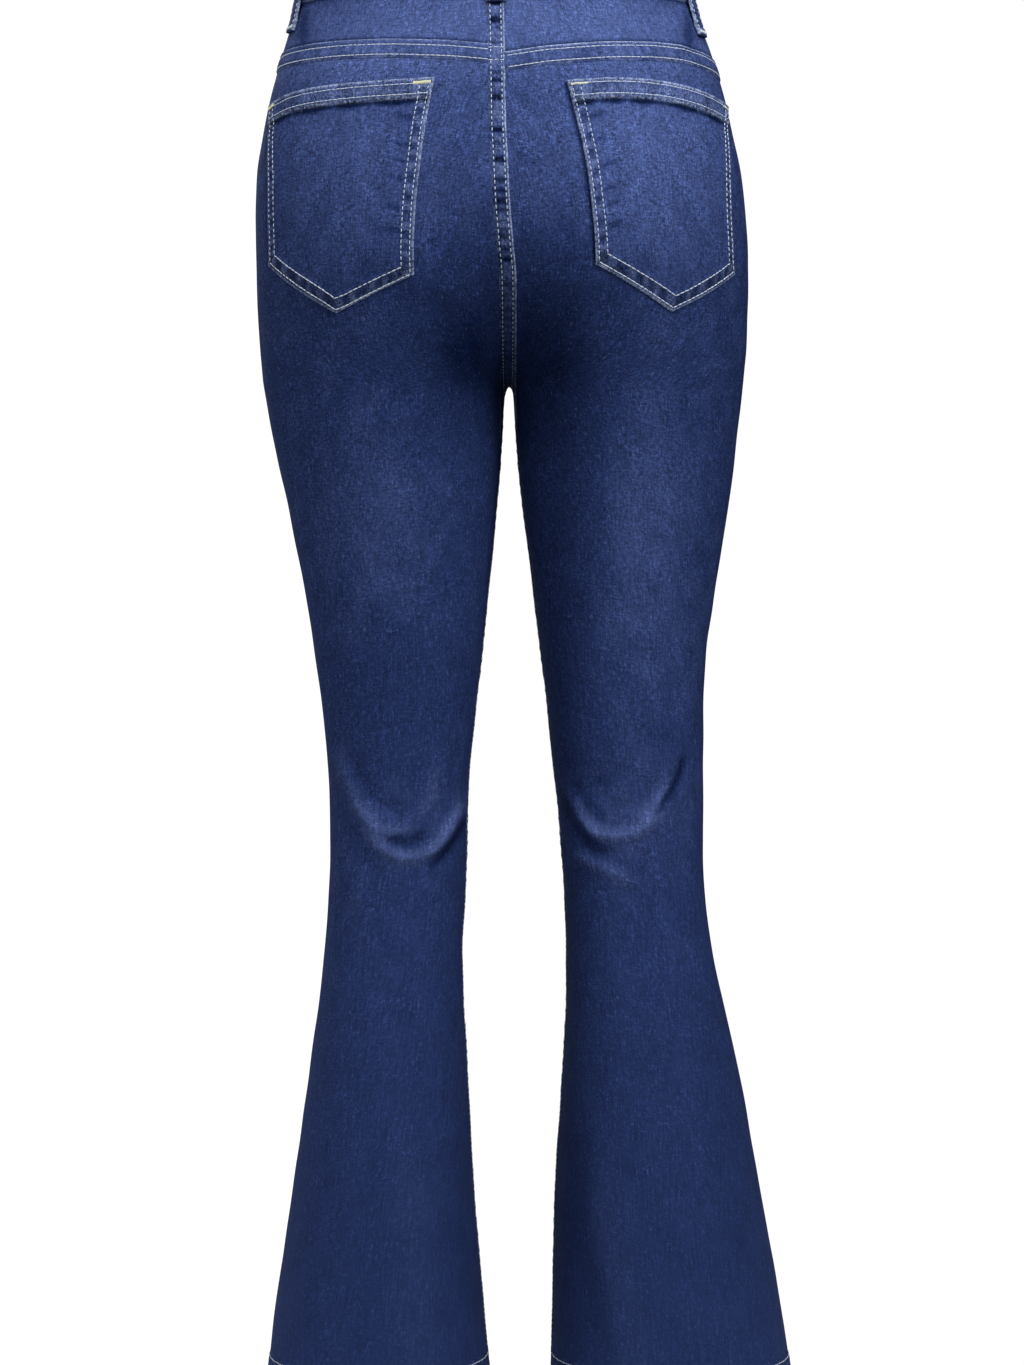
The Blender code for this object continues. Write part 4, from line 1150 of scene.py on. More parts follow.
def floor_finish():
    """Plain pale floor with a barely seen mottle."""
    made, tree, surface = shading("pale_floor")
    tone = mixed(tree, noise_of(tree, 3.0, 2.0), (0.90, 0.90, 0.90, 1),
                 (0.94, 0.94, 0.94, 1))
    tree.links.new(tone, surface.inputs["Base Color"])
    surface.inputs["Roughness"].default_value = 0.9
    glow = wired(tree, "ShaderNodeEmission", {"Color": (1, 1, 1, 1),
                                              "Strength": SKY_SEEN})
    path = wired(tree, "ShaderNodeLightPath")
    seen = wired(tree, "ShaderNodeMixShader", {0: path.outputs["Is Camera Ray"],
                                               1: surface.outputs[0], 2: glow.outputs[0]})
    tree.links.new(seen.outputs[0], tree.nodes["Material Output"].inputs["Surface"])
    return made


# Contrast of each worn denim's threads, and how much lighter it is than its fades and
# painted light and shade say.
WORN_DENIMS = {"denim_leg": (1.15,), "denim_seat": (0.85,), "denim_pocket": (1.1, 0.03),
               "denim_trim": (1.0, -0.05)}


@cache
def finish(slot):
    """The detailed material of a slot, made once."""
    colours = bpy.context.scene.jeans_colours
    if slot in WORN_DENIMS:
        return denim(slot + "_worn", colours.dye, colours.faded, *WORN_DENIMS[slot])
    if slot == "denim_reverse":
        return denim(slot, (0.16, 0.19, 0.26), (0.40, 0.44, 0.52), 0.9)
    return {"thread": thread_finish, "button_metal": metal_finish,
            "floor": floor_finish}[slot]()


# ---- pieces -----------------------------------------------------------------------
PANELS = {1: "back", -1: "front"}


def name_of(side):
    """Word for a side."""
    return "left" if side > 0 else "right"


OUTER_DROP = 15     # mm below the crotch, where the row that ends in it meets the side
LEVEL_DROP = 56     # and where the rows of a panel's grid are level again


def leg_rows(side, face, top_in, top_out):
    """Row heights of a leg panel at its two edges, and its inner edge's angles."""
    down = np.linspace(0, 1, 112)
    z_in, end = centre_seam(side, face, top_in, down)
    z_out = top_out + down * (CROTCH - OUTER_DROP * MM - top_out)
    t = np.linspace(0, 1, 21)[1:]
    near_in = CROTCH - LEVEL_DROP * MM * t ** 1.6
    near_out = CROTCH - (OUTER_DROP + (LEVEL_DROP - OUTER_DROP) * t) * MM
    rest = np.concatenate((np.linspace(CROTCH - LEVEL_DROP * MM, KNEE_TOP, 46)[1:],
                           np.linspace(KNEE_TOP, KNEE_BOTTOM, 104)[1:],
                           np.linspace(KNEE_BOTTOM, HEM_BOTTOM, 64)[1:]))
    end = np.append(end, np.full(len(near_in) + len(rest), math.pi))
    return (np.concatenate((z_in, near_in, rest)), np.concatenate((z_out, near_out, rest)),
            end)


def leg_panel(side, face):
    """One leg panel with its folds, its side seam pressed in, fades and painted light and
    shade.
    """
    size = bpy.context.scene.jeans_cloth
    if face > 0:
        shares = np.union1d(np.linspace(0, 1, 74), np.linspace(*POCKET_SHARES[side], 16))
        top = yoke_height(side, shares)
    else:
        shares = np.concatenate(([-0.022, -0.010], np.linspace(0, 1, 60)))
        top = np.full(shares.shape, PANEL_TOP)
    z_in, z_out, end = leg_rows(side, face, top[-1], top[0])
    z = z_in[:, None] + (z_out - z_in)[:, None] * (1 - np.clip(shares, 0, 1))
    z = z + (top - z[0]) * np.exp(-np.arange(len(z_in)) / 9.0)[:, None]
    start = -OUTSEAM_TURN
    if face < 0:
        start = OUTSEAM_TURN + scoop(z[:, 2:3]) / SCOOP_RADIUS
    angle = start + shares[None, :] * (end[:, None] - start)
    lap = fly_lap(side, face, z)
    p, n = cloth(side, face, angle, z, lap)
    zero = 0 if face > 0 else 2
    from_side = run(p, 1) / MM
    from_side = from_side - from_side[:, zero:zero + 1]
    if face > 0:
        drop = side_press(from_side)
    else:
        closed = soft((BAND_BOTTOM - SCOOP_DROP - z) / (4 * MM))
        under = np.where(from_side < -0.05, 1.0, 0.0)
        drop = -SIDE_GROOVE * bump(from_side, 1.8) * closed - TURNED_UNDER * under
    p = raised(p, n, drop * MM)
    thick = size.cloth + size.hem_extra * soft((HEM_BOTTOM + HEM_DEPTH - z) / (1.5 * MM))
    inner = raised(p, n, -thick)
    folds = fold_height(side, face, p, angle) / MM
    # Fades with painted light and shade: fold ridges lighter with wear and painted light,
    # and the creases' painted shade and light.
    fade_and_shade = fade_and_shade_at(face, p) + 0.06 * folds + along_curves(p, CREASES[side, face])
    if face > 0:
        # Painted shadow of the pocket's edge.
        fade_and_shade -= pocket_painted_shadow(side, p)
    ridge = 0.5 * (1 + pucker(z, 11 * MM, side * 1.7 + face))
    wear = 0.40 * bump(from_side - 1.6, 2.2) * (0.5 + 0.5 * ridge)
    wear += 0.55 * bump((z - HEM_BOTTOM) / MM, 1.2) + 0.012 * np.clip(folds, 0, 3)
    if face < 0:
        open_edge = soft((z - BAND_BOTTOM + SCOOP_DROP) / (8 * MM))
        wear = wear * (1 - open_edge) + open_edge * 0.5 * bump(from_side, 1.6)
    cloth_piece(PANELS[face] + "_" + name_of(side), p, inner, grain_map(p, 40),
                (fade_and_shade, wear), "denim_leg", "denim_reverse")


def side_press(from_side):
    """Height of the side seam's groove and of its allowance under the back, in mm."""
    allowance = soft((from_side - 1) / 2) * soft((15 - from_side) / 4)
    return -SIDE_GROOVE * bump(from_side, 1.8) + SIDE_ALLOWANCE * allowance


def pocket_painted_shadow(side, p):
    """Painted shadow beside the edge of a patch pocket that faces the wearer's left."""
    edge, _ = Pocket(side).place(0.0 if side < 0 else 1.0, np.linspace(0, 1, 50))
    x, z = p[..., 0], p[..., 2]
    beside = (x - np.interp(z, edge[::-1, 2], edge[::-1, 0])) / MM
    ends = soft((z - edge[-1, 2]) / (4 * MM)) * soft((edge[0, 2] - z) / (4 * MM))
    return bump(np.maximum(beside - 0.9, 0), 1.5) * np.where(beside > -12, ends, 0)


def yoke_piece(side):
    """Back yoke between the waistband and the leg panel."""
    size = bpy.context.scene.jeans_cloth
    shares = np.linspace(0, 1, 100)
    down = np.linspace(0, 1, 28)[:, None]
    z = PANEL_TOP * (1 - down) + yoke_height(side, shares)[None, :] * down
    end, _ = end_angle(side, 1, z)
    angle = -OUTSEAM_TURN + shares[None, :] * (end + OUTSEAM_TURN)
    p, n = cloth(side, 1, angle, z)
    from_side = run(p, 1) / MM
    p = raised(p, n, side_press(from_side) * MM)
    wear = 0.4 * bump(from_side - 1.6, 2.2)
    above = (z - yoke_height(side, shares)[None, :]) / MM
    # Fades and painted light and shade, with two painted shadows: a thin line above the
    # proud yoke seam and a band under the waistband's edge.
    fade_and_shade = fade_and_shade_at(1, p) - 0.45 * bump(above - 0.8, 1.3)
    fade_and_shade -= 0.5 * bump((BAND_BOTTOM - z) / MM, 2.6)
    cloth_piece("yoke_" + name_of(side), p, p - n * size.cloth, grain_map(p, 50),
                (fade_and_shade, wear), "denim_seat", "denim_reverse")


def facing_piece(side):
    """Facing that shows inside the scooped front pocket opening."""
    size = bpy.context.scene.jeans_cloth
    down = np.linspace(0, 1, 36)[:, None]
    share = np.linspace(0, 1, 48)[None, :]
    z = PANEL_TOP - down * (SCOOP_DROP + SCOOP_TUCK)
    end = OUTSEAM_TURN + (scoop(z) + SCOOP_TUCK) / SCOOP_RADIUS
    start = OUTSEAM_TURN - FACING_PAST
    angle = start + share * (end - start)
    p, n = cloth(side, -1, angle, z)
    p = p - n * FACING_SINK
    cloth_piece("front_pocket_facing_" + name_of(side), p, p - n * size.cloth,
                grain_map(p, 30), (fade_and_shade_at(-1, p) - 0.1, np.zeros(angle.shape)),
                "denim_leg", "denim_reverse")


# Distances of the pockets' rows of stitches from their edges, by side, in mm: inner and
# outer upright, the lower edge beside and beyond its point, and the mouth.
POCKET_ROWS = {1: ((3.2, 9.8), (3.4, 9.9), (1.5, 8.9), (3.4, 11.0), (4.6, 12.6)),
               -1: ((2.7, 8.8), (2.4, 7.6), (2.8, 10.8), (3.0, 10.3), (3.6, 12.6))}
TACK_SPAN = 13.0 / 150.0    # share of the mouth that a bar tack takes
TACK_DROP = 0.027           # share of the pocket's length above it
# Sag of the mouth at even steps from its inner to its outer end, in mm.
MOUTH_SAGS = {1: (0.0, 0.3, 1.4, 1.4, 1.6), -1: (0.0, 0.3, 2.4, 3.6, 1.6)}
# Turned edges: the edge, the one that lengths along it start from and their lean, length
# of its ropes in mm, their shift, and how much darker its roll is painted between its rows.
POCKET_RIMS = (("in", "top", 0.3, 9.3, 0.2, 0.14), ("out", "top", 0.0, 9.0, 1.1, 0.26),
               ("low", "in", 0.0, 12.0, 2.3, 0.46))
POCKET_GAP = 0.12 * MM  # between the seat and the pocket's inner face
POCKET_LAYER = 1.25     # height of the pocket's cloth over the seat, in mm
POCKET_TURNED = 0.75    # more of it where an edge is turned under
POCKET_DOUBLED = 0.95   # and where the hem is folded down


class Pocket:
    """A patch pocket: its place on the seat and its height over it.

    Places on it are shares: c from its inner to its outer edge, r from its mouth down.
    """

    def __init__(self, side):
        row = self.row = dict(zip(POCKET_COLUMNS, POCKETS[side]))
        self.side = side
        self.tape = Tape(side, 1, -0.275, -0.08)
        self.point = (row["point"] - row["low_in"]) / (row["low_out"] - row["low_in"])
        mouth = np.polyfit((0, .3, .7, 1), (row["top_in_z"], row["top_mid_z"],
                                            row["top_mid_z"] - 1, row["top_out_z"]), 3)
        at = np.linspace(0, 1, 5)
        self.mouth = np.polyfit(at, np.polyval(mouth, at) - MOUTH_SAGS[side], 4)

    def upright(self, end, r):
        """Tape distance of the inner or outer edge, in mm."""
        row = self.row
        return (row["top_" + end] * (1 - r) + row["low_" + end] * r
                + row["bow_" + end] * 4 * r * (1 - r))

    def spread(self, c, r):
        """Tape distance, height, width here and upright length here, in mm."""
        row = self.row
        inner = self.upright("in", r)
        wide = self.upright("out", r) - inner
        mouth = np.polyval(self.mouth, c)
        vee = np.interp(c, (0, self.point, 1), (row["low_in_z"], row["point_z"],
                                                row["low_out_z"]))
        return inner + wide * c, mouth * (1 - r) + vee * r, wide, mouth - vee

    def low_rows(self, c):
        """Distances of the two lower rows from the edge, met at the point, in mm."""
        turn = np.clip((c - self.point) / 0.07, -1, 1)
        beside, beyond = POCKET_ROWS[self.side][2:4]
        return [(a + b) / 2 + turn * (b - a) / 2 for a, b in zip(beside, beyond)]

    def edges(self, c, r):
        """Distances from the inner, outer, top and lower edges, in mm."""
        _, _, width, length = self.spread(c, r)
        row, point = self.row, self.point
        left = (row["low_in_z"] - row["point_z"]) / (row["point"] - row["low_in"])
        right = (row["low_out_z"] - row["point_z"]) / (row["low_out"] - row["point"])
        lean = np.where(c < point, left, right)
        return (c * width, (1 - c) * width, r * length,
                (1 - r) * length / np.sqrt(1 + lean ** 2))

    def height(self, c, r):
        """Height over the seat, fade with painted light and shade, and wear."""
        d_in, d_out, d_top, d_low = self.edges(c, r)
        away = {"in": d_in, "out": d_out, "top": d_top, "low": d_low}
        seed, hem = 1.0 + self.side, POCKET_HEM / MM
        sewn = (*POCKET_ROWS[self.side][:2], self.low_rows(c))
        rise = np.full(c.shape, POCKET_LAYER)
        fade_and_shade, wear = np.zeros(c.shape), np.zeros(c.shape)
        fold = soft((hem + 0.4 - d_top) / 1.6)
        for (edge, beside, lean, pitch, shift, deep), (near, far) in zip(POCKET_RIMS, sewn):
            d, along = away[edge], away[beside] + d_low * lean
            lip = soft((far + 2.6 - d) / 2.4)
            rope = pucker(along * MM, pitch * MM, seed + shift)
            mid = soft(1.4 - np.abs(d - (near + far) / 2) / (far - near) * 2)
            rise = (np.maximum(rise, POCKET_LAYER + POCKET_TURNED * lip)
                    + 0.26 * rope * mid * lip)
            rise -= 0.30 * (bump(d - near, 0.8) + bump(d - far, 0.8)) * lip
            # Lighter on the ropes with wear, painted shade in their pits, and the roll
            # between the rows darker.
            fade_and_shade += (0.30 * rope - deep) * mid * lip * (1 - 0.85 * fold)
            fine = pucker(along * MM, 4.1 * MM, seed + shift)
            wear += bump(d - 0.3, 1.3) * (0.62 + 0.2 * fine) + (
                0.03 + 0.12 * np.clip(rope, 0, 1)) * mid * lip
        rope = pucker(d_in * MM, 16 * MM, seed + 3.0, 0.2 * d_top)
        upper, lower = POCKET_ROWS[self.side][4]
        rise += fold * (POCKET_DOUBLED - 0.32 * (bump(d_top - upper, 0.9)
                                                 + bump(d_top - lower, 0.9)))
        rise += fold * 0.18 * rope * soft(1.5 - np.abs(d_top - 7.5) / 4.5)
        wave = pucker(d_in * MM, 31 * MM, seed + 5.0)
        below = bump(d_top - hem - 2.5, 2.2 + 0.7 * wave) * (1 - fold)
        sag = bump(d_top - hem - 7, 7.0) * wave
        rise += (1 - fold) * (0.45 * sag - 0.35 * below)
        ribs = pucker(d_in * MM, 2.5 * MM, seed + 4.0)
        # On the hem: lighter on its ropes and ribs, with painted shade in their pits.
        fade_and_shade += fold * (0.10 * rope + 0.10 * ribs
                        - 0.12 * soft(1.6 - np.abs(d_top - 7.6) / 4.6))
        # Painted shadow cast by the doubled hem onto the pocket below it.
        fade_and_shade -= (1.6 + 0.5 * wave) * below
        # Painted shade of small drag wrinkles beside the inner edge.
        drag = np.clip(pucker(d_top * MM, 17 * MM, seed + 6.0, 0.10 * d_in), 0, 1) ** 3
        fade_and_shade -= 0.42 * drag * bump(d_in - 15, 7.0) * (1 - fold) * soft((d_low - 20) / 10)
        wear += bump(d_top - 1.3, 1.0) * 0.8 + 0.5 * bump(d_top - hem + 0.2, 1.0)
        outer_half = 1 - 0.5 * (1 + self.side) * np.clip(c - 0.25, 0, 1)
        wear += (0.15 + 0.02 * self.side) * outer_half * fold * soft(
            1.6 - np.abs(d_top - 8.4) / 2.4)
        fade_and_shade += 0.10 * mottle(d_in * MM, d_top * MM) * (fold + 0.5)
        for d in (d_in, d_out):
            rise += 0.55 * soft((14.5 - d) / 2) * bump(d_top - 2.2, 2.0)
        edge = np.minimum(np.minimum(d_in, d_out), np.minimum(d_top, d_low))
        rise = rise * (0.45 + 0.55 * np.sqrt(np.clip(edge / 0.8, 0, 1)))
        return rise * MM, fade_and_shade, np.clip(wear, 0, 1)

    def place(self, c, r):
        """Points of the seat under the pocket, and outward directions."""
        across, height, _, _ = self.spread(c, r)
        angle = self.tape.angle(across * MM, height * MM)
        return cloth(self.side, 1, angle, height * MM)

    def thread_row(self, c, r, gold):
        """A row of stitches lying on the pocket's outer face."""
        c, r = np.broadcast_arrays(c, r)
        p, n = self.place(c, r)
        return raised(p, n, self.height(c, r)[0] + ON_CLOTH), n, gold

    def sewing(self):
        """Rows of stitches: those of the hem and the lower edge, and the uprights'."""
        sewn = POCKET_ROWS[self.side]
        t = np.linspace(0, 1, 70)
        c = 0.016 + t * 0.968
        tops = [self.thread_row(c, d / self.spread(c, 0.0)[3], 0.05) for d in sewn[4]]
        rows = []
        width = self.spread(0.0, t)[2]
        for k in (0, 1):
            for end, rim, low in ((0.0, sewn[0], sewn[2]), (1.0, sewn[1], sewn[3])):
                stop = 1 - (low[k] + 1.0) / self.spread(end, 0.5)[3]
                rows.append(self.thread_row(np.abs(end - rim[k] / width),
                                            0.015 + t * (stop - 0.015), 0.0))
                c = end + t * (self.point - end)
                c = c + (1 - 2 * end) * (1 - t) * rim[k] / 130.0
                length = self.spread(c, 1.0)[3]
                lean = self.edges(c, 0.0)[3] / length
                tops.append(self.thread_row(c, 1 - self.low_rows(c)[k] / (length * lean),
                                            0.12))
        return tops, rows

    def tacks(self):
        """Lines of the bar tacks at both ends of the mouth."""
        t = np.linspace(0, TACK_SPAN, 12)
        return [self.thread_row(c, TACK_DROP, 1.0) for c in (0.012 + t, 0.988 - t * 0.7)]


def back_pocket(pocket):
    """Patch pocket with turned edges, a doubled hem and puckers between its rows."""
    near = 0.5 / 150 * np.array((1, 2.2))
    near = np.concatenate((near, 1 - near))
    c = np.sort(np.concatenate((np.linspace(0, 1, 116), (pocket.point,), near)))
    r = np.sort(np.concatenate((np.linspace(0, 1, 124), near)))
    c, r = np.meshgrid(c, r)
    p, n = pocket.place(c, r)
    lift, fade_and_shade, wear = pocket.height(c, r)
    word = name_of(pocket.side)
    cloth_piece("back_pocket_" + word, raised(p, n, lift), p + n * POCKET_GAP,
                grain_map(p, 58), (fade_and_shade + fade_and_shade_at(1, p), wear), "denim_pocket")


def band_surface(turn, z):
    """Middle of the waistband by turn round the waist and height, and its directions."""
    p = cast(0.0, 0.0, z, np.sin(turn), -np.cos(turn), 0.0, LEG_REACH)
    n = outward(p)
    ramp = math.radians(20)
    over = 1 - soft((turn - BAND_UNDERLAP - 0.04) / ramp)
    under = soft((turn - 2 * math.pi + BAND_LAP + 0.04 + ramp) / ramp)
    return p + n * (BAND_STEP * (over - under))[..., None], n


def rounded(share):
    """Quarter round: 0 at an edge, full from a share of 1 on."""
    u = np.clip(share, 0, 1)
    return np.sqrt(u * (2 - u))


def band_height(turn, z):
    """Half thickness of the band, dipped along its rows of stitches."""
    from_edge = (BAND_HALF - np.abs(z - BAND_MIDDLE)) / MM
    round_off = rounded(from_edge / 1.6)
    rope = pucker(turn * 0.13, 15 * MM, 4.0) * soft((9 - from_edge) / 4)
    dips = bump(from_edge - BAND_INSET / MM, 0.9)
    half = (1.5 * round_off * (1 - 0.16 * dips) + 0.14 * rope * round_off) * MM
    return half, rope, from_edge


def waistband_piece():
    """One folded strip round the waist, its left end lapped over the right."""
    turn = np.linspace(-BAND_LAP, 2 * math.pi + BAND_UNDERLAP, 390)[None, :]
    t = np.linspace(-1, 1, 30)
    t = 0.7 * t + 0.3 * np.sin(t * math.pi / 2)
    turn, z = np.broadcast_arrays(turn, BAND_MIDDLE + BAND_HALF * t[:, None])
    p, n = band_surface(turn, z)
    half, rope, from_edge = band_height(turn, z)
    ends = np.minimum(turn + BAND_LAP, 2 * math.pi + BAND_UNDERLAP - turn) * 0.11 / MM
    half = half * (0.35 + 0.65 * np.sqrt(np.clip(ends / 1.4, 0, 1)))
    half = np.maximum(half, 0.12 * MM)
    face = np.where(np.cos(turn) < 0, 1, -1)
    # The body's fades and painted light and shade carry onto the band; lighter on its ropes
    # with wear, painted shade in their pits.
    fade_and_shade = np.where(face > 0, fade_and_shade_at(1, p), fade_and_shade_at(-1, p)) + 0.16 * rope
    wear = 0.55 * bump(from_edge - 0.4, 1.0) + 0.3 * bump(ends, 1.5)
    cloth_piece("waistband", raised(p, n, half), raised(p, n, -half), grain_map(p, 210),
                (fade_and_shade, np.clip(wear, 0, 1)), "denim_trim")


def band_sewing():
    """Rows of stitches along both edges of the band and down its lapped end."""
    low, high = BAND_BOTTOM + BAND_INSET, BAND_TOP - BAND_INSET
    start = -BAND_LAP + 0.03
    turn = np.linspace(start, 2 * math.pi - BAND_LAP - 0.02, 400)
    rows = []
    for turn, z in ((turn, high), (turn, low), (start, np.linspace(low, high, 20))):
        turn, z = np.broadcast_arrays(turn, z)
        p, n = band_surface(turn, z)
        rows.append((raised(p, n, band_height(turn, z)[0] + 0.15 * MM), n, 0.1))
    return rows


class Loop:
    """A belt loop bridging the band, doubled under at both tacked ends."""

    def __init__(self, row):
        self.row = row
        self.low = row["lower_end"] * MM
        self.wide = bpy.context.scene.jeans_cloth.loop_width
        self.tapes = {s: Tape(s, row["face"], -0.06, 0.03) for s in (1, -1)}

    def place(self, offset, z):
        """Body points under the loop, and outward directions."""
        row = self.row
        side, across = row["side"], row["across"] * MM
        offset, z = np.broadcast_arrays(offset, z)
        if across == 0:
            near = self.tapes[side].point(np.maximum(offset, 0), z)
            far = self.tapes[-side].point(np.maximum(-offset, 0), z)
            p = np.where((offset >= 0)[..., None], near, far)
        elif row["face"] < 0:
            p = self.tapes[side].point(across + offset, z)
        else:
            level = np.full(z.shape, LOOP_LEVEL)
            p = wall(side, row["face"], self.tapes[side].angle(across + offset, level), z)
        return p, outward(p)

    def height(self, offset, z):
        """Clear height and thickness, fade with painted shade, and wear."""
        share = np.clip((LOOP_TOP - z) / (LOOP_TOP - self.low), 0, 1)
        at, clears, thicks = zip(*LOOP_PROFILE)
        clear, thick = np.interp(share, at, clears), np.interp(share, at, thicks)
        if self.row["across"] == 0:
            clear = clear + 1.1 * soft((share - 0.7) / 0.1)
        edge = self.wide / 2 / MM - np.abs(offset) / MM
        round_off = rounded(edge / 1.1)
        rope = pucker(z, 6.5 * MM, self.row["across"] + self.row["side"])
        roll = soft((4.2 - edge) / 1.5)
        rise = thick * (0.35 + 0.65 * round_off) + 0.14 * rope * roll
        rise -= 0.2 * bump(edge - LOOP_INSET / MM, 0.8)
        tack = bump((share - 0.045) * 60, 1.4) + bump((share - 0.955) * 60, 1.4)
        rise += 0.35 * tack
        # Lighter on the ropes with wear; painted shade in their pits and along the rows of
        # stitches.
        fade_and_shade = 0.25 * rope * roll - 0.3 * bump(edge - LOOP_INSET / MM, 1.0)
        wear = bump(edge - 0.3, 1.0) * (0.85 + 0.2 * rope)
        wear += 0.4 * np.clip(rope, 0, 1) * roll + 0.5 * tack
        return clear * MM, rise * MM, fade_and_shade, np.clip(wear, 0, 1)

    def build(self):
        """The loop's cloth."""
        row = self.row
        t = np.linspace(-1, 1, 21)
        t = (0.6 * t + 0.4 * np.sin(t * math.pi / 2)) * self.wide / 2
        offset, z = np.broadcast_arrays(t, np.linspace(LOOP_TOP, self.low, 64)[:, None])
        p, n = self.place(offset, z)
        clear, rise, fade_and_shade, wear = self.height(offset, z)
        cloth_piece(row["name"], raised(p, n, clear + rise), raised(p, n, clear),
                    np.stack((offset, z), -1), (fade_and_shade + fade_and_shade_at(row["face"], p), wear),
                    "denim_trim")

    def sewing(self):
        """Two rows of stitches down the loop and the lines of its end tacks."""
        z = np.linspace(LOOP_TOP - 1 * MM, self.low + 1 * MM, 50)
        offset = np.linspace(-0.42, 0.42, 20) * self.wide
        rows = [self.thread_row(sign * (self.wide / 2 - LOOP_INSET), z, 0.15 * MM, 0.1)
                for sign in (-1, 1)]
        tacks = [self.thread_row(offset, level, 0.1 * MM, 0.3)
                 for level in (LOOP_TOP - LOOP_INSET, self.low + LOOP_INSET)]
        return rows, tacks

    def thread_row(self, offset, z, over, gold):
        """A row of stitches lying on the loop's outer face."""
        offset, z = np.broadcast_arrays(offset, z)
        p, n = self.place(offset, z)
        clear, rise, _, _ = self.height(offset, z)
        return raised(p, n, clear + rise + over), n, gold


def button_piece():
    """Shank button: a spun rim, a sunk ring and a domed centre, on the lapped end."""
    z = np.array((BAND_MIDDLE,))
    p = cast(0.0, 0.0, z, *BUTTON_WAY, LEG_REACH)
    axis = outward(p)[0]
    seat = p[0] + axis * (1.92 * MM + BAND_STEP)
    across = unit(np.cross(axis, (0.0, 0.0, 1.0)))
    bpy.ops.object.select_all(action="DESELECT")
    bpy.ops.mesh.primitive_circle_add(vertices=4, radius=0.001)
    made = bpy.context.object
    made.name = "shank_button"
    mesh = bpy.data.meshes.new("shank_button")
    points = [(r * BUTTON_RADIUS, 0.0, h * MM) for r, h in BUTTON_PROFILE]
    mesh.from_pydata(points, [(i, i + 1) for i in range(len(points) - 1)], [])
    old = made.data
    made.data = mesh
    bpy.data.meshes.remove(old)
    bpy.ops.object.mode_set(mode="EDIT")
    bpy.ops.mesh.select_all(action="SELECT")
    bpy.ops.mesh.spin(steps=64, angle=2 * math.pi, center=(0, 0, 0), axis=(0, 0, 1))
    bpy.ops.mesh.select_all(action="SELECT")
    bpy.ops.mesh.remove_doubles(threshold=0.00002)
    bpy.ops.mesh.select_all(action="DESELECT")
    bpy.ops.mesh.select_non_manifold()
    bpy.ops.mesh.edge_face_add()
    bpy.ops.mesh.select_all(action="SELECT")
    bpy.ops.mesh.normals_make_consistent(inside=False)
    bpy.ops.object.mode_set(mode="OBJECT")
    turn = np.stack((across, np.cross(axis, across), axis), -1)
    for v in made.data.vertices:
        v.co = turn @ np.array(v.co) + seat
    bpy.ops.object.shade_smooth_by_angle(angle=math.radians(50))
    made.data.materials.append(finish("button_metal"))
    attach(made, "root")
    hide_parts("button")


# ---- seams ------------------------------------------------------------------------
LONG_STITCH = (3.9 * MM, 4.6 * MM, 0.42 * MM)     # pitch, length and thread radius
SEAT_ROWS = (-3.2 * MM, 4.8 * MM)
SEAT_EDGES = (-5.8 * MM, 7.0 * MM)
CROSSINGS = (48.0 * MM, 58.1 * MM)     # yoke rows carried over the seat seam
YOKE_ROWS = {1: (4.6 * MM, 12.4 * MM), -1: (3.5 * MM, 12.4 * MM)}
YOKE_EDGES = (0.0, 15.0 * MM)
INSEAM_ROWS = (-3.2 * MM, 3.2 * MM)
INSEAM_EDGES = (-5.4 * MM, 5.6 * MM)
HEM_ROW = 10.5 * MM
FRONT_SEAM_START = 158.0 * MM          # below the fly


def seam_shapes():
    """Felled seam profiles by name: low, high and height."""
    seat = felled(*SEAT_EDGES, 8.6 * MM, 0.7, 1.15 * MM, SEAT_ROWS, 0.8, SEAT_PITS)
    yoke = {side: felled(*YOKE_EDGES, 9.0 * MM, 1.9, 1.15 * MM, YOKE_ROWS[side], 0.2,
                         worn=0.7 - 0.3 * side) for side in (1, -1)}
    inseam = felled(*INSEAM_EDGES, 10.0 * MM, 3.1, 0.8 * MM, INSEAM_ROWS, 0.6)
    return seat, yoke, inseam


def hem_height(along, across):
    """Turned-up hem: roped between its fold and its row of stitches."""
    rope = pucker(along, 13 * MM, 2.2, 0.5 * across / MM)
    flat = soft((13.5 * MM - across) / (3 * MM))
    dip = 0.30 * bump(across - HEM_ROW, 0.9 * MM)
    lift = (0.12 + flat * (0.42 + 0.30 * rope) - dip) * MM
    wear = bump(across - 0.4 * MM, 1.2 * MM) * (0.6 + 0.3 * rope)
    # Lighter on the ropes with wear, painted shade in their pits.
    return np.maximum(lift, THIN), 0.22 * rope * flat, np.clip(wear, 0, 1)


def seam_strips():
    """Felled seams: seat, front, yoke and inner legs, and both roped hems."""
    seat, yoke, inseam = seam_shapes()
    track = centre_track(1)
    track.strip("seat_seam", 2 * MM, track.length - 1 * MM, *SEAT_EDGES, seat)
    track = centre_track(-1)
    track.strip("front_seam", FRONT_SEAM_START, track.length - 1 * MM, *SEAT_EDGES, seat,
                face=-1)
    for side in (1, -1):
        word = name_of(side)
        track = yoke_track(side)
        track.strip("yoke_seam_" + word, 0.0, track.length - 1.5 * MM, *YOKE_EDGES,
                    yoke[side])
        track = inseam_track(side)
        track.strip("inner_seam_" + word, 0.0, track.length, *INSEAM_EDGES, inseam,
                    1.6 * MM)
        for face, panel in PANELS.items():
            track = hem_track(side, face)
            track.strip("hem_%s_%s" % (panel, word), 0.0, track.length, 0.3 * MM,
                        13.6 * MM, hem_height, 1.5 * MM, face)


def on(height):
    """Height of a thread lying on a seam."""
    return lambda along, across: (height(along, np.full(along.shape, across))[0]
                                  + ON_CLOTH)


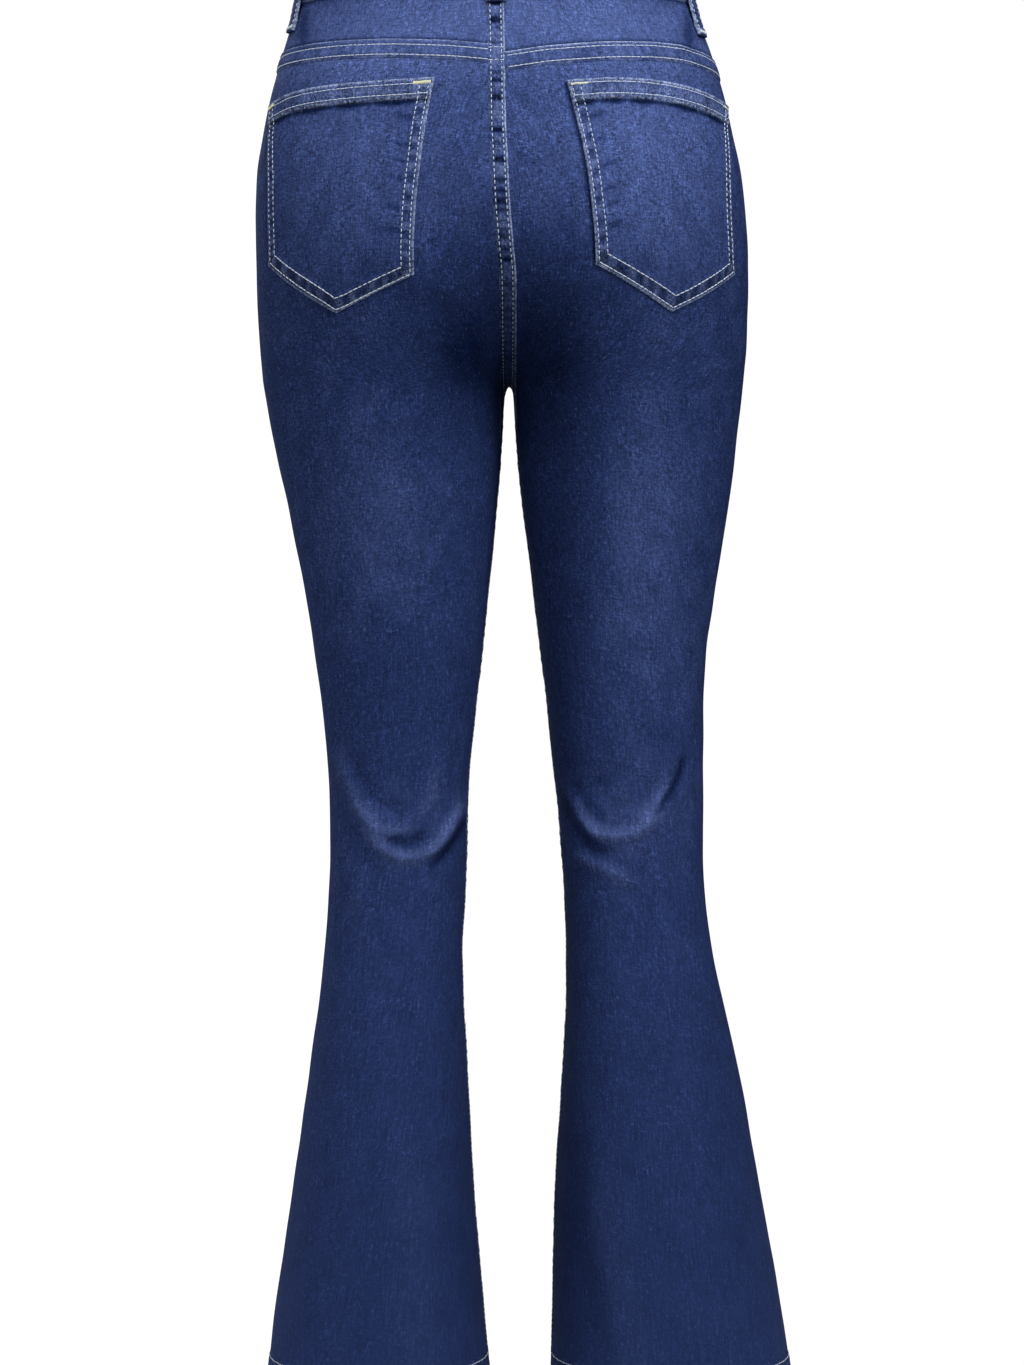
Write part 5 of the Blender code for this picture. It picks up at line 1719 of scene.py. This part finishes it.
def seam_sewing():
    """Rows of stitches along the seams."""
    seat, yoke, inseam = seam_shapes()
    track = centre_track(1)
    rows = [track.row(3 * MM, track.length - 2 * MM, a, on(seat)) for a in SEAT_ROWS]
    stitched("seat_stitching", rows, 4.5 * MM)
    rows = []
    for along in CROSSINGS:
        across = np.linspace(SEAT_EDGES[0] + 0.3 * MM, SEAT_EDGES[1], 14)
        along = np.full(across.shape, along)
        p, n = track.place(along, across)
        rows.append((raised(p, n, seat(along, across)[0] + 0.42 * MM), n, 0.05))
    stitched("yoke_crossing_stitching", rows, 3.3 * MM, 3.5 * MM, LONG_STITCH[2])
    track = centre_track(-1)
    rows = [track.row(FRONT_SEAM_START + 2 * MM, track.length - 2 * MM, a, on(seat), 0.15)
            for a in SEAT_ROWS]
    stitched("front_seam_stitching", rows)
    for side in (1, -1):
        track = yoke_track(side)
        rows = [track.row(1 * MM, track.length - (7.05 - 0.45 * side) * MM, a,
                          on(yoke[side])) for a in YOKE_ROWS[side]]
        stitched("yoke_stitching_" + name_of(side), rows, *LONG_STITCH)
        track = inseam_track(side)
        stitched("inner_seam_stitching_" + name_of(side),
                 [track.row(14 * MM, track.length, a, on(inseam), 0.1)
                  for a in INSEAM_ROWS])
        rows = []
        for face in (1, -1):
            track = hem_track(side, face)
            rows.append(track.row(0, track.length, HEM_ROW, on(hem_height), 0.2))
        stitched("hem_stitching_" + name_of(side), rows, 3.9 * MM)
        track = scoop_track(side)
        stitched("front_pocket_stitching_" + name_of(side),
                 [track.row(1 * MM, track.length - 2 * MM, a, ON_CLOTH, 0.15)
                  for a in (2.4 * MM, 8.9 * MM)])


def fly_sewing():
    """The fly's curved double row and the row along its edge, on the left front."""
    top, t = BAND_BOTTOM - 1 * MM, np.linspace(0, math.pi / 2, 24)[1:]
    lines = []
    for inset in (0.0, 6.4 * MM):
        reach, low, turn = 37 * MM - inset, -0.150 + inset * 0.9, 34 * MM - inset * 0.8
        z = np.concatenate((np.linspace(top, low, 60), low - turn * np.sin(t)))
        x = np.concatenate((np.full(60, reach), reach - (reach - 1 * MM) * (1 - np.cos(t))))
        lines.append((z, x))
    lines.append((np.linspace(top, FLY_END + 4 * MM, 60), np.full(60, -5.4 * MM)))
    made = []
    for z, x in lines:
        cy = leg_axis(1, z)[1]
        at = column("middle", z) + x
        p = cast(at, cy, z, 0.0, -1.0, 0.0)
        n = outward(p)
        made.append((raised(p, n, ripple(p) + fly_rise(x, z) + ON_CLOTH), n, 0.15))
    stitched("fly_stitching", made)


# ---- add-on -----------------------------------------------------------------------
class JeansCloth(bpy.types.PropertyGroup):
    """Sizes of the cloth pieces."""

    cloth: FloatProperty(name="Cloth", description="Thickness of one layer of denim",
                         default=0.0012, min=0.0008, max=0.003, unit="LENGTH")
    hem_extra: FloatProperty(name="Hem", description="Turned-up layers inside the hem",
                             default=0.0018, min=0.0, max=0.003, unit="LENGTH")
    loop_width: FloatProperty(name="Belt Loop", description="Width of a belt loop",
                              default=0.0145, min=0.008, max=0.02, unit="LENGTH")


class JeansSewing(bpy.types.PropertyGroup):
    """Sizes of the stitches."""

    stitch_pitch: FloatProperty(name="Pitch", description="Distance from stitch to stitch",
                                default=0.0041, min=0.001, max=0.006, unit="LENGTH")
    stitch_length: FloatProperty(name="Length", description="Length of one stitch",
                                 default=0.0033, min=0.0008, max=0.005, unit="LENGTH")
    thread_radius: FloatProperty(name="Thread", description="Radius of the thread",
                                 default=0.00036, min=0.0001, max=0.0008, unit="LENGTH")


class JeansColours(bpy.types.PropertyGroup):
    """Colours of the denim and its threads."""

    dye: FloatVectorProperty(name="Indigo", description="Unfaded dye", size=3,
                             default=(0.0172, 0.0322, 0.110), min=0, max=1, subtype="COLOR")
    faded: FloatVectorProperty(name="Faded", description="Dye where the cloth has faded",
                               size=3, default=(0.085, 0.125, 0.320), min=0, max=1,
                               subtype="COLOR")
    worn: FloatVectorProperty(name="Worn", description="Abraded edges of the cloth", size=3,
                              default=(0.30, 0.37, 0.55), min=0, max=1, subtype="COLOR")
    thread: FloatVectorProperty(name="Thread", description="Pale topstitching thread",
                                size=3, default=(0.66, 0.76, 0.93), min=0, max=1,
                                subtype="COLOR")
    gold_thread: FloatVectorProperty(name="Gold Thread", description="Bar tack thread",
                                     size=3, default=(0.93, 0.90, 0.46), min=0, max=1,
                                     subtype="COLOR")


class JEANS_OT_leg_panels(bpy.types.Operator):
    """Build the two back and two front leg panels"""

    bl_idname = "jeans.leg_panels"
    bl_label = "Leg Panels"

    def execute(self, context):
        for side in (1, -1):
            for face in (1, -1):
                leg_panel(side, face)
        return {"FINISHED"}


class JEANS_OT_yokes(bpy.types.Operator):
    """Build the two back yokes"""

    bl_idname = "jeans.yokes"
    bl_label = "Yokes"

    def execute(self, context):
        for side in (1, -1):
            yoke_piece(side)
        return {"FINISHED"}


class JEANS_OT_facings(bpy.types.Operator):
    """Build the facings inside the front pocket openings"""

    bl_idname = "jeans.facings"
    bl_label = "Front Pocket Facings"

    def execute(self, context):
        for side in (1, -1):
            facing_piece(side)
        return {"FINISHED"}


class JEANS_OT_back_pockets(bpy.types.Operator):
    """Build both patch pockets with their stitching and bar tacks"""

    bl_idname = "jeans.back_pockets"
    bl_label = "Back Pockets"

    def execute(self, context):
        for pocket in map(Pocket, (1, -1)):
            back_pocket(pocket)
            word = name_of(pocket.side)
            tops, rows = pocket.sewing()
            stitched("back_pocket_hem_stitching_" + word, tops, *LONG_STITCH)
            stitched("back_pocket_stitching_" + word, rows)
            stitched("back_pocket_tacks_" + word, pocket.tacks(), 0.7 * MM,
                     (2.9 + 0.7 * pocket.side) * MM, 0.36 * MM, crosswise=True)
        return {"FINISHED"}


class JEANS_OT_waistband(bpy.types.Operator):
    """Build the waistband and its stitching"""

    bl_idname = "jeans.waistband"
    bl_label = "Waistband"

    def execute(self, context):
        waistband_piece()
        stitched("waistband_stitching", band_sewing())
        return {"FINISHED"}


class JEANS_OT_belt_loops(bpy.types.Operator):
    """Build the five belt loops with their stitching and end tacks"""

    bl_idname = "jeans.belt_loops"
    bl_label = "Belt Loops"

    def execute(self, context):
        sewing, tacks = [], []
        for row in named(LOOP_COLUMNS, LOOPS):
            loop = Loop(row)
            loop.build()
            rows, ends = loop.sewing()
            sewing += rows
            tacks += ends
        stitched("belt_loop_stitching", sewing)
        stitched("belt_loop_tacks", tacks, 0.75 * MM, 2.4 * MM, 0.34 * MM, crosswise=True)
        return {"FINISHED"}


class JEANS_OT_seams(bpy.types.Operator):
    """Build the felled seams and the roped hems"""

    bl_idname = "jeans.seams"
    bl_label = "Seams and Hems"

    def execute(self, context):
        seam_strips()
        return {"FINISHED"}


class JEANS_OT_stitching(bpy.types.Operator):
    """Stitch the seams, hems, front pockets and fly"""

    bl_idname = "jeans.stitching"
    bl_label = "Seam Stitching"

    def execute(self, context):
        seam_sewing()
        fly_sewing()
        return {"FINISHED"}


class JEANS_OT_button(bpy.types.Operator):
    """Build the waist button"""

    bl_idname = "jeans.button"
    bl_label = "Button"

    def execute(self, context):
        button_piece()
        return {"FINISHED"}


# Soft lights: name, place, height that they are turned to, size and power in watts.
LAMPS = (
    ("key", (-1.45, 1.7, 1.1), -0.45, 1.2, 46),
    ("high", (0.0, 0.9, 1.9), -0.45, 1.2, 38),
    ("fill", (0.3, 2.4, 1.2), -0.45, 1.2, 19),
    ("side", (2.1, 0.0, 0.2), -0.45, 1.2, 13),
    ("front", (0.9, -2.0, 0.9), -0.5, 1.4, 26),
)


def soft_lamp(name, place, aim, size, power):
    """A square white light at a place, turned to a height of the garment."""
    data = bpy.data.lights.new(name, "AREA")
    data.size = size
    data.energy = power
    data.color = (1.0, 1.0, 1.0)
    made = bpy.data.objects.new(name, data)
    bpy.context.scene.collection.objects.link(made)
    made.location = x, y, z = place
    made.rotation_euler = (math.atan2(math.hypot(x, y), z - aim), 0, math.atan2(x, -y))


class JEANS_OT_stage(bpy.types.Operator):
    """Set the floor, the soft lights, the sky and the camera"""

    bl_idname = "jeans.stage"
    bl_label = "Stage"

    def execute(self, context):
        bpy.ops.object.select_all(action="DESELECT")
        bpy.ops.mesh.primitive_circle_add(vertices=96, radius=0.9, fill_type="NGON",
                                          location=(0, 0, FLOOR))
        floor = context.object
        floor.name = "floor"
        floor.data.materials.append(finish("floor"))
        for lamp in LAMPS:
            soft_lamp(*lamp)
        world = bpy.data.worlds.new("studio")
        world.use_nodes = True
        tree = world.node_tree
        tree.nodes.clear()
        path = wired(tree, "ShaderNodeLightPath")
        strength = ranged(tree, path.outputs["Is Camera Ray"], 0.0, 1.0, SKY_LIGHT,
                          SKY_SEEN)
        sky = wired(tree, "ShaderNodeBackground", {"Color": (1, 1, 1, 1),
                                                   "Strength": strength})
        wired(tree, "ShaderNodeOutputWorld", {"Surface": sky.outputs[0]})
        context.scene.world = world
        lens = bpy.data.cameras.new("camera")
        lens.sensor_fit = "VERTICAL"
        lens.sensor_height = SENSOR_HEIGHT
        lens.lens = SENSOR_HEIGHT * CAMERA_FOCUS
        lens.clip_start = 0.05
        lens.clip_end = 50.0
        camera = bpy.data.objects.new("camera", lens)
        camera.location = CAMERA
        camera.rotation_euler = (math.pi / 2, 0, math.pi)
        context.scene.collection.objects.link(camera)
        context.scene.camera = camera
        context.scene.view_settings.view_transform = "Standard"
        context.scene.view_settings.look = "None"
        return {"FINISHED"}


STEPS = (JEANS_OT_leg_panels, JEANS_OT_yokes, JEANS_OT_facings, JEANS_OT_back_pockets,
         JEANS_OT_waistband, JEANS_OT_belt_loops, JEANS_OT_seams, JEANS_OT_stitching,
         JEANS_OT_button, JEANS_OT_stage)


class JEANS_PT_build(bpy.types.Panel):
    """Sidebar panel that lists the pieces and their sizes"""

    bl_label = "Flared Jeans"
    bl_idname = "JEANS_PT_build"
    bl_space_type = "VIEW_3D"
    bl_region_type = "UI"
    bl_category = "Jeans"

    def draw(self, context):
        layout = self.layout
        for group in ("jeans_cloth", "jeans_sewing", "jeans_colours"):
            values = getattr(context.scene, group)
            box = layout.box()
            for name in values.__annotations__:
                box.prop(values, name)
        for step in STEPS:
            layout.operator(step.bl_idname)


GROUPS = {"jeans_cloth": JeansCloth, "jeans_sewing": JeansSewing,
          "jeans_colours": JeansColours}


def register():
    """Register the property groups, the operators and the panel."""
    for name, group in GROUPS.items():
        bpy.utils.register_class(group)
        setattr(bpy.types.Scene, name, PointerProperty(type=group))
    for made in (*STEPS, JEANS_PT_build):
        bpy.utils.register_class(made)


def unregister():
    """Remove everything that register() added."""
    for made in (JEANS_PT_build, *reversed(STEPS)):
        bpy.utils.unregister_class(made)
    for name, group in GROUPS.items():
        delattr(bpy.types.Scene, name)
        bpy.utils.unregister_class(group)


def main():
    """Build every piece and the stage."""
    register()
    for step in STEPS:
        word = step.bl_idname.split(".")[1]
        if getattr(bpy.ops.jeans, word)() != {"FINISHED"}:
            raise RuntimeError(step.bl_label + " wasn't finished")
    bpy.context.view_layer.update()


if __name__ == "__main__":
    main()
